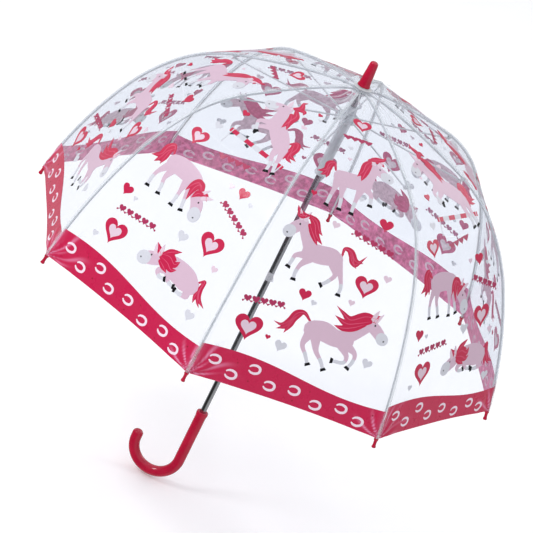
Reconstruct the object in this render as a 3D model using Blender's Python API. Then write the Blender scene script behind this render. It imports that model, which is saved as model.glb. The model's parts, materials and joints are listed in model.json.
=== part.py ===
"""A child's clear dome umbrella, open, in metres.

+Z runs up the shaft to the ferrule and the origin is on the shaft's axis, halfway up the handle's
straight grip. The handle's hook points along -X. Rib 1 lies along +X, and the others follow every
45 degrees round +Z. Panel 1 lies between ribs 1 and 2.
"""

import math

import bmesh
import bpy
import numpy as np
from mathutils import Matrix, Vector

# Driving dimensions of the canopy
RIB_COUNT = 8
STEP = 2 * math.pi / RIB_COUNT
CROWN_Z = 0.562
CANOPY_RADIUS = 0.340
RIB_SLOPES_DEG = (6.7, 14.9, 19.8, 45.7, 62.8, 70.6, 78.8)  # evenly spaced, from the crown to the rim
PROFILE_STEPS = 1200
FILM_THICK = 0.0005
FILM_START = 0.019  # share of the rib's arc where the film begins, under the crown washer
FLEX_SHARE = 0.5  # share of the arc where a rib bends as it closes
RIM_SCALLOP = 0.008
SEAM_GAP = 0.00017
FLEX_GAP = 0.0002

# Ribs, stretchers and their joints
RIB_RADIUS = 0.0013
RIB_DEPTH = 0.0025  # from the film's outer face in to the rib's centreline
NOTCH_PIVOT = (0.009, CROWN_Z - 0.0055)
RUNNER_PIVOT = (0.0125, CROWN_Z - 0.047)
BRACKET_ARC = 0.176
BRACKET_DROP = 0.004
STRETCHER_RADIUS = 0.0011
BAR_SIDES = 6
PIN_RADIUS = 0.00055
PIN_HOLE = 0.00085
WIRE_RADIUS = 0.00045
WIRE_HOLE = 0.0008
RIB_EYE = 0.0020
TONGUE_HALF = 0.0006
STRETCHER_TONGUE_HALF = 0.00075
SOLID_START = 0.0055  # where a rib's or stretcher's round part begins, from its pivot
TIP_LENGTH = 0.013
TIP_RADIUS = 0.0029

# Shaft, crown, runner and catches
SHAFT_RADIUS = 0.0040
SHAFT_WALL = 0.0006
SHAFT_TOP = CROWN_Z + 0.022
SHAFT_FOOT = -0.0085
NOTCH_RADIUS = 0.0120
NOTCH_HALF = 0.0032
NOTCH_FLOOR = 0.0066
RUNNER_FOOT = CROWN_Z - 0.135
RUNNER_HEAD_HALF = 0.0030
RUNNER_HEAD_RADIUS = 0.0155
RUNNER_FLOOR = 0.0100
RUNNER_BORE = 0.0046
RUNNER_TUBE_RADIUS = 0.0072
RUNNER_TOP = CROWN_Z - 0.0299  # so that the closed runner stops just under the lower catch
SLOT_HALF = 0.0011
FERRULE_FOOT = CROWN_Z + 0.0014
FERRULE_TOP = CROWN_Z + 0.0375
UPPER_CATCH_Z = RUNNER_FOOT - 0.0008
LOWER_CATCH_Z = CROWN_Z - 0.303
CATCH_LENGTH = 0.0115
CATCH_PROUD = 0.0029
CATCH_HALF = 0.0008
NOTCH_PIN_Z = CROWN_Z - 0.0103

# Handle
GRIP_TOP = 0.0415
GRIP_FOOT = -0.0410
HOOK_RADIUS = 0.0338
HOOK_RISE = 0.0060
GRIP_RADIUS = 0.0075
COLLAR_RADIUS = 0.0082
GRIP_BORE = 0.0043
GRIP_BORE_DEPTH = 0.0520

CRIMSON = (0.56, 0.012, 0.045)
STEEL = (0.55, 0.56, 0.58)
CLEAR = (0.83, 0.86, 0.88)
FILM = (0.86, 0.90, 0.95)


def clear_scene():
    for obj in list(bpy.data.objects):
        bpy.data.objects.remove(obj, do_unlink=True)


def material(name, colour, roughness, metallic=0.0, alpha=1.0):
    made = bpy.data.materials.new(name)
    made.use_nodes = True
    shader = made.node_tree.nodes["Principled BSDF"]
    shader.inputs["Base Color"].default_value = (*colour, 1.0)
    shader.inputs["Roughness"].default_value = roughness
    shader.inputs["Metallic"].default_value = metallic
    shader.inputs["Alpha"].default_value = alpha
    return made


def to_mesh(bm, name):
    """The bmesh as a named mesh with its faces turned out."""
    bmesh.ops.recalc_face_normals(bm, faces=bm.faces)
    mesh = bpy.data.meshes.new(name)
    bm.to_mesh(mesh)
    bm.free()
    return mesh


def place(name, mesh, finish, pivot=(0.0, 0.0), azimuth=0.0):
    """A node whose origin is its pivot (radius, height), turned to its azimuth round the shaft.

    The mesh is in the object's plane: X out from the shaft and Z up, with its origin at the pivot.
    """
    obj = bpy.data.objects.new(name, mesh)
    bpy.context.scene.collection.objects.link(obj)
    obj.location = (pivot[0] * math.cos(azimuth), pivot[0] * math.sin(azimuth), pivot[1])
    obj.rotation_euler = (0.0, 0.0, azimuth)
    if not mesh.materials:
        mesh.materials.append(finish)
    mesh.shade_smooth()
    mesh.set_sharp_from_angle(angle=math.radians(35))
    return obj


def from_pivot(mesh, pivot):
    """Moves a mesh drawn in the shaft's frame so that its origin is at the pivot."""
    mesh.transform(Matrix.Translation((-pivot[0], 0.0, -pivot[1])))
    return mesh


def boolean(base, tool, operation):
    """A new mesh: base joined with tool, or cut by it."""
    holders = [bpy.data.objects.new("shape", mesh) for mesh in (base, tool)]
    for holder in holders:
        bpy.context.scene.collection.objects.link(holder)
    cut = holders[0].modifiers.new("boolean", "BOOLEAN")
    cut.operation = operation
    cut.object = holders[1]
    graph = bpy.context.evaluated_depsgraph_get()
    graph.update()
    result = bpy.data.meshes.new_from_object(holders[0].evaluated_get(graph))
    for holder in holders:
        bpy.data.objects.remove(holder, do_unlink=True)
    return result


def loft(rings, closed_path=False):
    """A bmesh skinned through rings of points, closed by a face at each end or joined end to end."""
    bm = bmesh.new()
    loops = [[bm.verts.new(point) for point in ring] for ring in rings]
    pairs = list(zip(loops, loops[1:]))
    if closed_path:
        pairs.append((loops[-1], loops[0]))
    for here, there in pairs:
        for i in range(len(here)):
            j = (i + 1) % len(here)
            bm.faces.new((here[i], here[j], there[j], there[i]))
    if not closed_path:
        bm.faces.new(loops[0])
        bm.faces.new(loops[-1])
    return bm


def turned(profile, sides, name, closed=False):
    """A mesh turned round Z from (radius, height) points; closed joins the last point to the first."""
    rings = []
    for turn in range(sides):
        angle = 2 * math.pi * turn / sides
        rings.append([(r * math.cos(angle), r * math.sin(angle), z) for r, z in profile])
    if closed:
        return to_mesh(loft(rings, closed_path=True), name)
    ends = [[(r * math.cos(2 * math.pi * t / sides), r * math.sin(2 * math.pi * t / sides), z)
             for t in range(sides)] for r, z in profile]
    return to_mesh(loft(ends), name)


def swept(path, radii, sides, name):
    """A round bar along a path of (x, z) points, with a radius at each."""
    points = [Vector((x, 0.0, z)) for x, z in path]
    rings = []
    for i, point in enumerate(points):
        ahead = points[min(i + 1, len(points) - 1)]
        behind = points[max(i - 1, 0)]
        along = (ahead - behind).normalized()
        side = Vector((0.0, 1.0, 0.0))
        up = along.cross(side)
        turns = [2 * math.pi * (k + 0.5) / sides for k in range(sides)]
        rings.append([point + radii[i] * (math.cos(a) * side + math.sin(a) * up) for a in turns])
    return to_mesh(loft(rings), name)


def rounded_bar(path, radius, sides, name):
    """A bar of one radius with domed ends, which reach the path's two end points."""
    points = [Vector(point) for point in path]
    first = (points[1] - points[0]).normalized()
    last = (points[-1] - points[-2]).normalized()
    domes = [math.radians(angle) for angle in (62, 26)]
    whole, radii = [], []
    for angle in domes:
        whole.append(points[0] + first * radius * (1 - math.sin(angle)))
        radii.append(radius * math.cos(angle))
    whole.append(points[0] + first * radius)
    middle = [p for p in points[1:-1] if min((p - points[0]).length, (p - points[-1]).length) > radius * 1.5]
    whole += middle
    whole.append(points[-1] - last * radius)
    radii += [radius] * (len(middle) + 2)
    for angle in reversed(domes):
        whole.append(points[-1] - last * radius * (1 - math.sin(angle)))
        radii.append(radius * math.cos(angle))
    return swept(whole, radii, sides, name)


def box(low, high):
    """A closed box between two corners."""
    x0, y0, z0 = low
    x1, y1, z1 = high
    rings = [[(x0, y0, z), (x1, y0, z), (x1, y1, z), (x0, y1, z)] for z in (z0, z1)]
    return to_mesh(loft(rings), "box")


def cross_bar(centre, radius, half, sides=8):
    """A round bar along Y, centred on an (x, z) point."""
    turns = [2 * math.pi * k / sides for k in range(sides)]
    outline = [(centre[0] + radius * math.cos(a), centre[1] + radius * math.sin(a)) for a in turns]
    return to_mesh(loft([[(x, y, z) for x, z in outline] for y in (-half, half)]), "cross_bar")


def plate(outline, low, high):
    """A flat plate: an (x, z) outline between two Y planes."""
    return to_mesh(loft([[(x, y, z) for x, z in outline] for y in (low, high)]), "plate")


def tongue(centre, along, length, eye, half_width, half_thick):
    """A flat tongue with a round eye at its centre point, running out along a direction."""
    along = Vector(along).normalized()
    across = Vector((-along.y, along.x))
    centre = Vector(centre)
    turns = [math.radians(105 + 30 * k) for k in range(6)]
    outline = [centre + eye * (math.cos(a) * along + math.sin(a) * across) for a in turns]
    outline.append(centre + along * length - across * half_width)
    outline.append(centre + along * length + across * half_width)
    return plate([tuple(point) for point in outline], -half_thick, half_thick)


def canopy_profile():
    """Arc, radius, height and slope along a seam, from the crown to the rim."""
    share = np.linspace(0.0, 1.0, PROFILE_STEPS + 1)
    slope = np.radians(np.interp(share, np.linspace(0.0, 1.0, len(RIB_SLOPES_DEG)), RIB_SLOPES_DEG))
    middle = (slope[1:] + slope[:-1]) / 2
    out = np.concatenate([[0.0], np.cumsum(np.cos(middle))])
    down = np.concatenate([[0.0], np.cumsum(np.sin(middle))])
    scale = CANOPY_RADIUS / out[-1]
    return share * PROFILE_STEPS * scale, out * scale, CROWN_Z - down * scale, slope


ARC, OUT, HEIGHT, SLOPE = canopy_profile()
RIB_ARC = float(ARC[-1])
FLEX_ARC = FLEX_SHARE * RIB_ARC


def seam_point(arc, depth=0.0):
    """(radius, height) on the seam at an arc from the crown, or that far in under the film."""
    slope = np.interp(arc, ARC, SLOPE)
    radius = np.interp(arc, ARC, OUT) - depth * math.sin(slope)
    height = np.interp(arc, ARC, HEIGHT) - depth * math.cos(slope)
    return float(radius), float(height)


def seam_direction(arc):
    """The unit direction of the seam at an arc, pointing to the rim."""
    slope = float(np.interp(arc, ARC, SLOPE))
    return math.cos(slope), -math.sin(slope)


BRACKET_PIVOT = seam_point(BRACKET_ARC, RIB_DEPTH + BRACKET_DROP)
RIB_FLEX = seam_point(FLEX_ARC, RIB_DEPTH)
HALF_PANEL = STEP / 2
PANEL_IN = math.cos(HALF_PANEL)
PANEL_SPREAD = math.tan(HALF_PANEL)
PANEL_PIVOT = (NOTCH_PIVOT[0] * PANEL_IN, NOTCH_PIVOT[1])
PANEL_FLEX = (seam_point(FLEX_ARC)[0] * PANEL_IN, seam_point(FLEX_ARC)[1])


def rib_inner_mesh():
    """The rib's inner half: an eye and tongue at the crown, a round bar and the stretcher's bracket."""
    start = (NOTCH_PIVOT[0] + SOLID_START, NOTCH_PIVOT[1])
    arcs = np.linspace(0.028, FLEX_ARC, 9)
    flex = Vector(RIB_FLEX) - Vector(seam_direction(FLEX_ARC)) * FLEX_GAP
    path = [start] + [seam_point(a, RIB_DEPTH) for a in arcs[:-1]] + [tuple(flex)]
    bar = rounded_bar(path, RIB_RADIUS, BAR_SIDES, "rib_inner")
    root = tongue(NOTCH_PIVOT, (1, 0), SOLID_START + 0.003, RIB_EYE, 0.0011, TONGUE_HALF)
    solid = boolean(bar, root, "UNION")
    along = Vector(seam_direction(BRACKET_ARC))
    inward = Vector((along.y, -along.x))
    top = Vector(seam_point(BRACKET_ARC, RIB_DEPTH))
    corners = ((-0.0026, 0.0), (-0.0017, BRACKET_DROP + 0.0010), (-0.0008, BRACKET_DROP + 0.0017))
    corners += tuple((-a, d) for a, d in reversed(corners))
    outline = [tuple(top + a * along + d * inward) for a, d in corners]
    for low in (0.00105, -0.00165):
        solid = boolean(solid, plate(outline, low, low + 0.0006), "UNION")
    for centre, hole in ((NOTCH_PIVOT, WIRE_HOLE), (BRACKET_PIVOT, PIN_HOLE)):
        solid = boolean(solid, cross_bar(centre, hole, 0.004), "DIFFERENCE")
    return solid


def rib_outer_mesh():
    """The rib's outer half: a plain round bar from the flex to inside the tip."""
    flex = Vector(RIB_FLEX) + Vector(seam_direction(FLEX_ARC)) * FLEX_GAP
    end = Vector(seam_point(RIB_ARC, RIB_DEPTH)) + Vector(seam_direction(RIB_ARC)) * 0.006
    arcs = np.linspace(FLEX_ARC, RIB_ARC, 9)[1:]
    path = [tuple(flex)] + [seam_point(a, RIB_DEPTH) for a in arcs] + [tuple(end)]
    return rounded_bar(path, RIB_RADIUS, BAR_SIDES, "rib_outer")


def rib_tip_mesh():
    """A moulded cap on the rib's end, with a blind bore for the wire."""
    profile = [
        (TIP_RADIUS, 0.0),
        (TIP_RADIUS, 0.0022),
        (0.0022, 0.0030),
        (0.0021, 0.0095),
        (0.0028, 0.0108),
        (0.0026, 0.0123),
        (0.0014, TIP_LENGTH),
    ]
    bore = turned([(0.0016, -0.001), (0.0016, 0.0068), (0.0006, 0.0074)], 8, "bore")
    cap = boolean(turned(profile, 8, "rib_tip"), bore, "DIFFERENCE")
    x, z = seam_direction(RIB_ARC)
    foot = Vector(seam_point(RIB_ARC, RIB_DEPTH)) + Vector((x, z)) * 0.0005
    turn = Vector((0.0, 0.0, 1.0)).rotation_difference(Vector((x, 0.0, z))).to_matrix().to_4x4()
    cap.transform(Matrix.Translation((foot.x, 0.0, foot.y)) @ turn)
    return cap


def stretcher_mesh():
    """A stretcher: an eye for the runner's wire, a round bar and a riveted eye for the bracket."""
    inner, outer = Vector(RUNNER_PIVOT), Vector(BRACKET_PIVOT)
    along = (outer - inner).normalized()
    share = (outer - inner).length
    path = [inner + along * SOLID_START, inner + along * share / 2, outer - along * 0.0050]
    solid = rounded_bar([tuple(p) for p in path], STRETCHER_RADIUS, BAR_SIDES, "stretcher")
    for centre, way in ((inner, along), (outer, -along)):
        part = tongue(centre, way, SOLID_START + 0.003, 0.0018, 0.0009, STRETCHER_TONGUE_HALF)
        solid = boolean(solid, part, "UNION")
    solid = boolean(solid, cross_bar(inner, WIRE_HOLE, 0.004), "DIFFERENCE")
    solid = boolean(solid, cross_bar(outer, PIN_RADIUS, 0.0021), "UNION")
    for side in (-1, 1):
        head = cross_bar(outer, 0.0011, 0.00022)
        head.transform(Matrix.Translation((0.0, side * 0.00218, 0.0)))
        solid = boolean(solid, head, "UNION")
    return solid


def panel_mesh(start, end, scallop):
    """A film panel between two arcs, flat from rib to rib, with its rim drawn up by the scallop."""
    rows, columns = 9, 5
    faces_of = []
    for depth in (0.0, FILM_THICK):
        grid = []
        for i in range(rows):
            line = []
            for j in range(columns):
                across = 2 * j / (columns - 1) - 1
                reach = end - scallop * (1 - across * across)
                arc = start + (reach - start) * i / (rows - 1)
                radius, height = seam_point(arc)
                slope = float(np.interp(arc, ARC, SLOPE))
                normal = Vector((math.sin(slope), PANEL_IN * math.cos(slope))).normalized()
                out = radius * PANEL_IN - depth * normal.x
                half = out * PANEL_SPREAD - SEAM_GAP
                line.append(Vector((out, across * half, height - depth * normal.y)))
            grid.append(line)
        faces_of.append(grid)
    bm = bmesh.new()
    outer, inner = [[[bm.verts.new(p) for p in line] for line in grid] for grid in faces_of]
    for i in range(rows - 1):
        for j in range(columns - 1):
            bm.faces.new((outer[i][j], outer[i][j + 1], outer[i + 1][j + 1], outer[i + 1][j]))
            bm.faces.new((inner[i][j], inner[i + 1][j], inner[i + 1][j + 1], inner[i][j + 1]))
        for j in (0, columns - 1):
            bm.faces.new((outer[i][j], outer[i + 1][j], inner[i + 1][j], inner[i][j]))
    for i in (0, rows - 1):
        for j in range(columns - 1):
            bm.faces.new((outer[i][j], outer[i][j + 1], inner[i][j + 1], inner[i][j]))
    return to_mesh(bm, "panel")


def slot_cutters(floor, low, high):
    """Eight radial slots as one cutter, open at the outside."""
    joined = bmesh.new()
    for k in range(RIB_COUNT):
        slot = box((floor, -SLOT_HALF, low), (0.03, SLOT_HALF, high))
        slot.transform(Matrix.Rotation(k * STEP, 4, "Z"))
        joined.from_mesh(slot)
    return to_mesh(joined, "slots")


def wire_groove(pivot, outer):
    """A ring cutter that opens a groove for a tie wire, from under the wire to the outside."""
    inner = pivot[0] - WIRE_RADIUS - 0.00035
    low, high = pivot[1] - 0.0008, pivot[1] + 0.0008
    profile = [(inner, low), (outer + 0.002, low), (outer + 0.002, high), (inner, high)]
    return turned(profile, 24, "groove", closed=True)


def tie_wire(pivot, name):
    """A ring of tie wire through the eyes round the pivot circle."""
    turns = [2 * math.pi * k / 5 for k in range(5)]
    profile = [(pivot[0] + WIRE_RADIUS * math.cos(a), pivot[1] + WIRE_RADIUS * math.sin(a)) for a in turns]
    return turned(profile, 24, name, closed=True)


def make_crown(steel, clear, crimson):
    """The notch that the ribs hinge in, its wire and pin, and the washer and ferrule on top."""
    low, high = NOTCH_PIVOT[1] - NOTCH_HALF, NOTCH_PIVOT[1] + NOTCH_HALF
    bore = SHAFT_RADIUS + 0.0003
    ring = [(bore, low), (NOTCH_RADIUS, low), (NOTCH_RADIUS, high), (bore, high)]
    notch = turned(ring, 24, "crown_notch", closed=True)
    notch = boolean(notch, slot_cutters(NOTCH_FLOOR, low - 0.001, high + 0.001), "DIFFERENCE")
    notch = boolean(notch, wire_groove(NOTCH_PIVOT, NOTCH_RADIUS), "DIFFERENCE")
    place("crown_notch", notch, clear)
    place("notch_wire", tie_wire(NOTCH_PIVOT, "notch_wire"), steel)
    pin = cross_bar((0.0, NOTCH_PIN_Z), 0.0010, 0.0062)
    place("notch_pin", pin, steel)
    washer = [
        (bore, CROWN_Z + 0.0002),
        (0.0130, CROWN_Z - 0.0011),
        (0.0130, CROWN_Z - 0.0004),
        (0.0085, CROWN_Z + 0.0008),
        (bore, CROWN_Z + 0.0010),
    ]
    place("crown_washer", turned(washer, 24, "crown_washer", closed=True), clear)
    height = FERRULE_TOP - FERRULE_FOOT
    outline = [
        (0.0088, 0.0),
        (0.0088, 0.0008),
        (0.0078, 0.0040),
        (0.0073, 0.0100),
        (0.0058, height - 0.0056),
        (0.0052, height - 0.0026),
        (0.0036, height - 0.0008),
        (0.0014, height),
    ]
    body = turned([(r, FERRULE_FOOT + z) for r, z in outline], 24, "ferrule")
    depth = SHAFT_TOP + 0.0006
    hole = turned([(bore, FERRULE_FOOT - 0.001), (bore, depth), (0.001, depth)], 16, "bore")
    place("ferrule", boolean(body, hole, "DIFFERENCE"), crimson)


def make_shaft(steel):
    """The steel tube, slotted for the two catches and drilled for the notch's pin."""
    inner = SHAFT_RADIUS - SHAFT_WALL
    ring = [(inner, SHAFT_FOOT), (SHAFT_RADIUS, SHAFT_FOOT), (SHAFT_RADIUS, SHAFT_TOP), (inner, SHAFT_TOP)]
    tube = turned(ring, 16, "shaft_tube", closed=True)
    half = CATCH_HALF + 0.0004
    slots = ((UPPER_CATCH_Z - CATCH_LENGTH - 0.0012, UPPER_CATCH_Z + 0.0008),
             (LOWER_CATCH_Z - 0.0008, LOWER_CATCH_Z + CATCH_LENGTH + 0.0012))
    for low, high in slots:
        tube = boolean(tube, box((0.001, -half, low), (0.006, half, high)), "DIFFERENCE")
    tube = boolean(tube, cross_bar((0.0, NOTCH_PIN_Z), 0.0013, 0.006), "DIFFERENCE")
    place("shaft_tube", tube, steel)


def make_catches(steel, clear):
    """Two spring catches in the shaft's slots: each has a square shoulder that faces the runner."""
    for name, shoulder, way, finish in (("upper_catch", UPPER_CATCH_Z, -1, steel),
                                        ("lower_catch", LOWER_CATCH_Z, 1, clear)):
        tip = SHAFT_RADIUS + CATCH_PROUD
        pivot = (0.0012, shoulder + way * CATCH_LENGTH)
        outline = [
            (0.0006, shoulder + way * 0.0002),
            (tip, shoulder + way * 0.0002),
            (tip, shoulder + way * 0.0022),
            (0.0030, shoulder + way * (CATCH_LENGTH + 0.0004)),
            (0.0006, shoulder + way * (CATCH_LENGTH + 0.0004)),
        ]
        catch = plate(outline, -CATCH_HALF, CATCH_HALF)
        place(name, from_pivot(catch, pivot), finish, pivot)


def make_runner(steel, clear):
    """The runner: a slotted head on a long sleeve with a thumb lip, and its tie wire."""
    low, high = RUNNER_PIVOT[1] - RUNNER_HEAD_HALF, RUNNER_PIVOT[1] + RUNNER_HEAD_HALF
    outline = [
        (RUNNER_BORE, RUNNER_FOOT),
        (RUNNER_TUBE_RADIUS + 0.0010, RUNNER_FOOT),
        (RUNNER_TUBE_RADIUS + 0.0014, RUNNER_FOOT + 0.0020),
        (RUNNER_TUBE_RADIUS + 0.0010, RUNNER_FOOT + 0.0045),
        (RUNNER_TUBE_RADIUS - 0.0004, RUNNER_FOOT + 0.0060),
        (RUNNER_TUBE_RADIUS + 0.0006, low - 0.0050),
        (RUNNER_HEAD_RADIUS, low),
        (RUNNER_HEAD_RADIUS, high),
        (RUNNER_TUBE_RADIUS + 0.0006, high + 0.0030),
        (RUNNER_TUBE_RADIUS - 0.0006, RUNNER_TOP),
        (RUNNER_BORE, RUNNER_TOP),
    ]
    solid = turned(outline, 24, "runner", closed=True)
    solid = boolean(solid, slot_cutters(RUNNER_FLOOR, low - 0.006, high + 0.004), "DIFFERENCE")
    solid = boolean(solid, wire_groove(RUNNER_PIVOT, RUNNER_HEAD_RADIUS), "DIFFERENCE")
    place("runner", solid, clear)
    place("runner_wire", tie_wire(RUNNER_PIVOT, "runner_wire"), steel)


def make_handle(crimson):
    """The moulded handle: a straight grip with a rounded collar, turned into a hook along -X."""
    collar = ((0.0, 0.0068), (0.0006, 0.0078), (0.0020, COLLAR_RADIUS), (0.0050, COLLAR_RADIUS),
              (0.0085, GRIP_RADIUS), (0.0300, GRIP_RADIUS), (0.0560, GRIP_RADIUS))
    path = [(0.0, GRIP_TOP - drop) for drop, _ in collar]
    radii = [radius for _, radius in collar]
    for k in range(15):
        angle = math.pi * k / 14
        path.append((-HOOK_RADIUS * (1 - math.cos(angle)), GRIP_FOOT - HOOK_RADIUS * math.sin(angle)))
        radii.append(GRIP_RADIUS)
    for angle in (0, 30, 55, 75):
        dome = math.radians(angle)
        path.append((-2 * HOOK_RADIUS, GRIP_FOOT + HOOK_RISE + GRIP_RADIUS * 0.8 * math.sin(dome)))
        radii.append(GRIP_RADIUS * math.cos(dome))
    solid = swept(path, radii, 14, "handle")
    floor = GRIP_TOP - GRIP_BORE_DEPTH
    bore = turned([(GRIP_BORE, floor), (GRIP_BORE, GRIP_TOP + 0.002)], 20, "bore")
    place("handle", boolean(solid, bore, "DIFFERENCE"), crimson)


def make_canopy(steel, film, crimson):
    """Eight ribs, each in two halves with a stretcher and a tip, and eight film panels between them."""
    inner = from_pivot(rib_inner_mesh(), NOTCH_PIVOT)
    outer = from_pivot(rib_outer_mesh(), RIB_FLEX)
    tip = from_pivot(rib_tip_mesh(), RIB_FLEX)
    stretcher = from_pivot(stretcher_mesh(), RUNNER_PIVOT)
    film_inner = from_pivot(panel_mesh(FILM_START * RIB_ARC, FLEX_ARC - FLEX_GAP, 0.0), PANEL_PIVOT)
    film_outer = from_pivot(panel_mesh(FLEX_ARC + FLEX_GAP, RIB_ARC, RIM_SCALLOP), PANEL_FLEX)
    for k in range(RIB_COUNT):
        number, azimuth = k + 1, k * STEP
        place(f"rib_{number}_inner", inner, steel, NOTCH_PIVOT, azimuth)
        place(f"rib_{number}_outer", outer, steel, RIB_FLEX, azimuth)
        place(f"rib_{number}_tip", tip, crimson, RIB_FLEX, azimuth)
        place(f"stretcher_{number}", stretcher, steel, RUNNER_PIVOT, azimuth)
        place(f"panel_{number}_inner", film_inner, film, PANEL_PIVOT, azimuth + HALF_PANEL)
        place(f"panel_{number}_outer", film_outer, film, PANEL_FLEX, azimuth + HALF_PANEL)


def main():
    clear_scene()
    steel = material("plated_steel", STEEL, 0.25, metallic=1.0)
    clear = material("clear_plastic", CLEAR, 0.35, alpha=0.6)
    film = material("clear_film", FILM, 0.12, alpha=0.35)
    crimson = material("crimson_plastic", CRIMSON, 0.3)
    make_shaft(steel)
    make_handle(crimson)
    make_crown(steel, clear, crimson)
    make_catches(steel, clear)
    make_runner(steel, clear)
    make_canopy(steel, film, crimson)


main()
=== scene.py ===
"""The looks of a child's clear dome umbrella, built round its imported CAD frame.

Metres, +Z up the shaft to the ferrule. Rib 1 lies along +X and the others follow every 45 degrees.
A gore is the film between two ribs. Its drawing plane has u to the right and v up from the rim, as
seen from outside, and the dome turns that plane into the real surface.
"""

from __future__ import annotations

import json
import logging
import math
from collections.abc import Callable, Iterable, Sequence
from dataclasses import dataclass, field
from enum import Enum

import bmesh
import bpy
import numpy as np
from bpy.types import Material, Mesh, Node, NodeSocket, NodeTree, Object
from mathutils import Matrix, Vector

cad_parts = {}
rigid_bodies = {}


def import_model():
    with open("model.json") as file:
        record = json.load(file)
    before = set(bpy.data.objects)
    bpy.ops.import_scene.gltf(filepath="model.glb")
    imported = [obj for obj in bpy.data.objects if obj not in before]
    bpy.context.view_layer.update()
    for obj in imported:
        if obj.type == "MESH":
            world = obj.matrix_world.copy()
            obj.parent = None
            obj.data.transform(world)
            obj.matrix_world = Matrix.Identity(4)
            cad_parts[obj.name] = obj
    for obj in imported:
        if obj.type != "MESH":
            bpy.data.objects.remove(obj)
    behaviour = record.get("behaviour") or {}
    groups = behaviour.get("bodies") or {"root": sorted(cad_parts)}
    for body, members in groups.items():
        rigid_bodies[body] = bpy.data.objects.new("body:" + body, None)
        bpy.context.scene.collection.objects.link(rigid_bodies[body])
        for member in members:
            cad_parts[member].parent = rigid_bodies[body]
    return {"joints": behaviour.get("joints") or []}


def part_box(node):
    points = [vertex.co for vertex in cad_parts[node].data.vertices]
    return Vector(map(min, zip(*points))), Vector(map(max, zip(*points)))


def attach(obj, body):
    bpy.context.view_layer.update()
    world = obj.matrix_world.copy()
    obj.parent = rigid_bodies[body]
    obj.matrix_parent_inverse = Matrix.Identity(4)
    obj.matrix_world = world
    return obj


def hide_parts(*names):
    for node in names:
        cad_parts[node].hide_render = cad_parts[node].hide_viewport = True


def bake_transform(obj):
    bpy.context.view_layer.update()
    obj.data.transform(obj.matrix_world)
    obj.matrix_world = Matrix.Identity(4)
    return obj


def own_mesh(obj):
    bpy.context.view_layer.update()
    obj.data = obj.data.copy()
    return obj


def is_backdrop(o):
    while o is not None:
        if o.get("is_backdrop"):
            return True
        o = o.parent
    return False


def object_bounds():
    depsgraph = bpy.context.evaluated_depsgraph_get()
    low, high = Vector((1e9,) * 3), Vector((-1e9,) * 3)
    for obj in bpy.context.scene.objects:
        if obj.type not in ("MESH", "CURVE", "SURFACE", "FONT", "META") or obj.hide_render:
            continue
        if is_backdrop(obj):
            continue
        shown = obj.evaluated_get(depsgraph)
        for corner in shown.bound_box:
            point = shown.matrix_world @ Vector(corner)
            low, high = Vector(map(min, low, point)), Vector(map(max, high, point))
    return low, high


LOG = logging.getLogger("umbrella")
MM = 0.001
RIBS = 8
GORE_TURN = 2 * math.pi / RIBS
HALF_TURN = GORE_TURN / 2
Colour = tuple[float, float, float]
Profile = Sequence[tuple[float, float]]
Outline = np.ndarray
Stroke = tuple[tuple[float, float, float], ...]


# ---------------------------------------------------------------- node trees


class Tree:
    """A node tree that is filled with few words."""

    def __init__(self, tree: NodeTree) -> None:
        """Takes a material's, a world's or a Geometry Nodes tree to fill."""
        self.tree = tree

    def add(self, kind: str, inputs: dict | None = None, **settings: object) -> Node:
        """Adds a node.

        Args:
            kind: the node's type name.
            inputs: value or output socket for each input, by name or by number.
            settings: attributes of the node itself.

        Returns:
            The new node.
        """
        node = self.tree.nodes.new(kind)
        for name, value in settings.items():
            setattr(node, name, value)
        for key, value in (inputs or {}).items():
            if isinstance(value, NodeSocket):
                self.tree.links.new(value, node.inputs[key])
            else:
                node.inputs[key].default_value = value
        return node

    def link(self, start: NodeSocket, end: NodeSocket) -> None:
        """Joins an output to an input."""
        self.tree.links.new(start, end)

    def math(self, operation: str, first: NodeSocket | float, second: NodeSocket | float) -> NodeSocket:
        """A sum, product or power of two numbers."""
        return self.add("ShaderNodeMath", {0: first, 1: second}, operation=operation).outputs[0]

    def place(self, scale: Sequence[float] = (1, 1, 1)) -> NodeSocket:
        """Object coordinates, with a pattern made finer along X, Y and Z."""
        where = self.add("ShaderNodeTexCoord").outputs["Object"]
        return self.add("ShaderNodeMapping", {"Vector": where, "Scale": scale}).outputs[0]

    def noise(self, scale: float, detail: float = 3.0, stretch: Sequence[float] = (1, 1, 1)) -> NodeSocket:
        """A noise from 0 to 1, with that many cells to the metre."""
        given = {"Vector": self.place(stretch), "Scale": scale, "Detail": detail}
        return self.add("ShaderNodeTexNoise", given).outputs[0]

    def ramp(self, value: NodeSocket, start: float, end: float, low: float, high: float) -> NodeSocket:
        """Maps the range from start to end to the range from low to high."""
        given = {"Value": value, "From Min": start, "From Max": end, "To Min": low, "To Max": high}
        return self.add("ShaderNodeMapRange", given).outputs[0]

    def spread(self, value: NodeSocket, low: float, high: float) -> NodeSocket:
        """Maps the middle of a noise to a range."""
        return self.ramp(value, 0.3, 0.7, low, high)

    def blend(self, share: NodeSocket, first: NodeSocket | Colour, second: NodeSocket | Colour) -> NodeSocket:
        """Mixes two colours."""
        ends = [end if isinstance(end, NodeSocket) else (*end, 1) for end in (first, second)]
        return self.add("ShaderNodeMix", {0: share, 6: ends[0], 7: ends[1]}, data_type="RGBA").outputs[2]

    def shades(self, value: NodeSocket, dark: Colour, light: Colour) -> NodeSocket:
        """A colour that a noise runs between two shades."""
        return self.blend(self.spread(value, 0.0, 1.0), dark, light)

    def bump(self, height: NodeSocket, strength: float, depth: float) -> NodeSocket:
        """A normal from a height of 0 to 1 that is that many metres deep."""
        given = {"Height": height, "Strength": strength, "Distance": depth}
        return self.add("ShaderNodeBump", given).outputs[0]


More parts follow.
